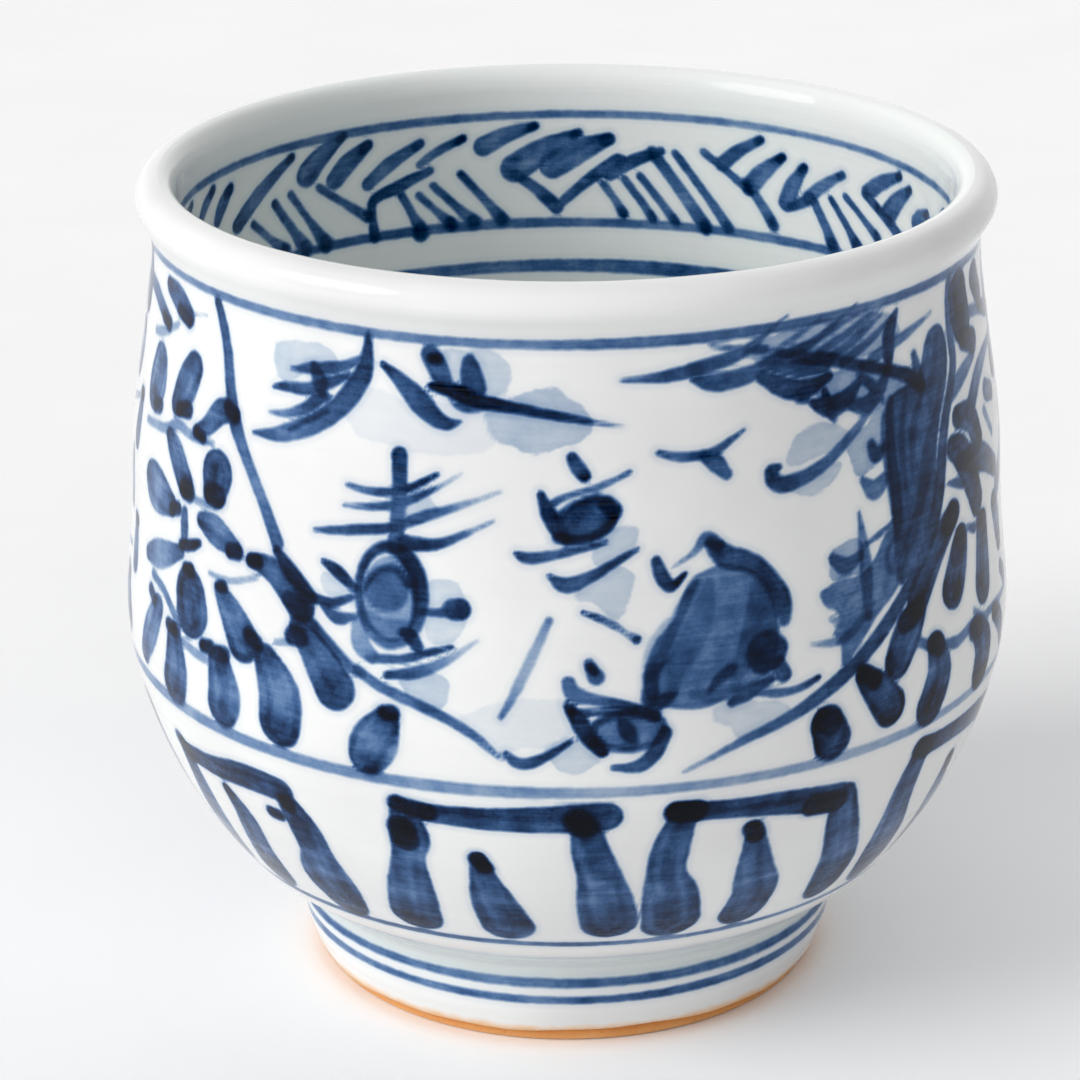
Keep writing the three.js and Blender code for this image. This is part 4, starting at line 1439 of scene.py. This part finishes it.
def make_camera():
    data = bpy.data.cameras.new("camera")
    data.lens = LENS_MM
    data.sensor_width = 36.0
    data.dof.use_dof = False
    camera = bpy.data.objects.new("camera", data)
    bpy.context.collection.objects.link(camera)
    camera.matrix_world = (
        Matrix.Translation((0.0, -CAMERA_DISTANCE, CAMERA_HEIGHT))
        @ Matrix.Rotation(math.radians(CAMERA_YAW), 4, "Z")
        @ Matrix.Rotation(math.radians(90.0 - CAMERA_TILT_DOWN), 4, "X")
        @ Matrix.Rotation(math.radians(CAMERA_ROLL), 4, "Z")
    )
    bpy.context.scene.camera = camera


def make_floor():
    corners = [(-FLOOR_HALF, -FLOOR_HALF), (FLOOR_HALF, -FLOOR_HALF), (FLOOR_HALF, FLOOR_HALF), (-FLOOR_HALF, FLOOR_HALF)]
    mesh = bpy.data.meshes.new("floor")
    mesh.from_pydata([(x, y, 0.0) for x, y in corners], [], [(0, 1, 2, 3)])
    mesh.materials.append(white_card())
    floor = bpy.data.objects.new("floor", mesh)
    bpy.context.collection.objects.link(floor)


def broad_sun(name, azimuth, elevation, spread, strength):
    """A large, far soft box. Azimuth is degrees round from the front, to the right."""
    data = bpy.data.lights.new(name, "SUN")
    data.angle = math.radians(spread)
    data.energy = strength
    light = bpy.data.objects.new(name, data)
    bpy.context.collection.objects.link(light)
    light.matrix_world = Matrix.Rotation(math.radians(azimuth), 4, "Z") @ Matrix.Rotation(
        math.radians(90.0 - elevation), 4, "X"
    )


def glow(tree, azimuth, elevation, sharpness, strength):
    """Light from a wide part of the studio round one direction, fading away from it."""
    around, above = math.radians(azimuth), math.radians(elevation)
    facing = tree.nodes.new("ShaderNodeVectorMath")
    facing.operation = "DOT_PRODUCT"
    facing.inputs[1].default_value = (
        math.sin(around) * math.cos(above),
        -math.cos(around) * math.cos(above),
        math.sin(above),
    )
    tree.links.new(tree.nodes.new("ShaderNodeTexCoord").outputs["Generated"], facing.inputs[0])
    lit = tree.nodes.new("ShaderNodeMath")
    lit.operation = "MAXIMUM"
    lit.inputs[1].default_value = 0.0
    tree.links.new(facing.outputs["Value"], lit.inputs[0])
    narrowed = tree.nodes.new("ShaderNodeMath")
    narrowed.operation = "POWER"
    narrowed.inputs[1].default_value = sharpness
    tree.links.new(lit.outputs[0], narrowed.inputs[0])
    scaled = tree.nodes.new("ShaderNodeMath")
    scaled.operation = "MULTIPLY"
    scaled.inputs[1].default_value = strength
    tree.links.new(narrowed.outputs[0], scaled.inputs[0])
    return scaled.outputs[0]


def make_world(glows, backdrop):
    """A soft studio: a few glows light the cup, and the eye sees an even pale backdrop."""
    world = bpy.data.worlds.new("studio")
    world.use_nodes = True
    bpy.context.scene.world = world
    tree = world.node_tree
    background = tree.nodes["Background"]
    background.inputs["Color"].default_value = (1.0, 1.0, 1.0, 1.0)
    total = None
    for settings in glows:
        part = glow(tree, *settings)
        if total is not None:
            both = tree.nodes.new("ShaderNodeMath")
            tree.links.new(total, both.inputs[0])
            tree.links.new(part, both.inputs[1])
            part = both.outputs[0]
        total = part
    seen = tree.nodes.new("ShaderNodeMix")
    tree.links.new(tree.nodes.new("ShaderNodeLightPath").outputs["Is Camera Ray"], seen.inputs["Factor"])
    tree.links.new(total, seen.inputs["A"])
    seen.inputs["B"].default_value = backdrop
    tree.links.new(seen.outputs["Result"], background.inputs["Strength"])


def light_scene():
    make_world([(180, 0, 1, 1.21), (0, 90, 1, 0.17), (0, 40, 4, 1.22)], 0.93)
    broad_sun("key_left", -66, 27, 35, 2.0)
    view = bpy.context.scene.view_settings
    view.view_transform = "Standard"
    view.use_curve_mapping = True
    view.curve_mapping.black_level = (0.006, 0.006, 0.006)
    view.curve_mapping.update()


make_camera()
make_floor()
light_scene()
build_cup()
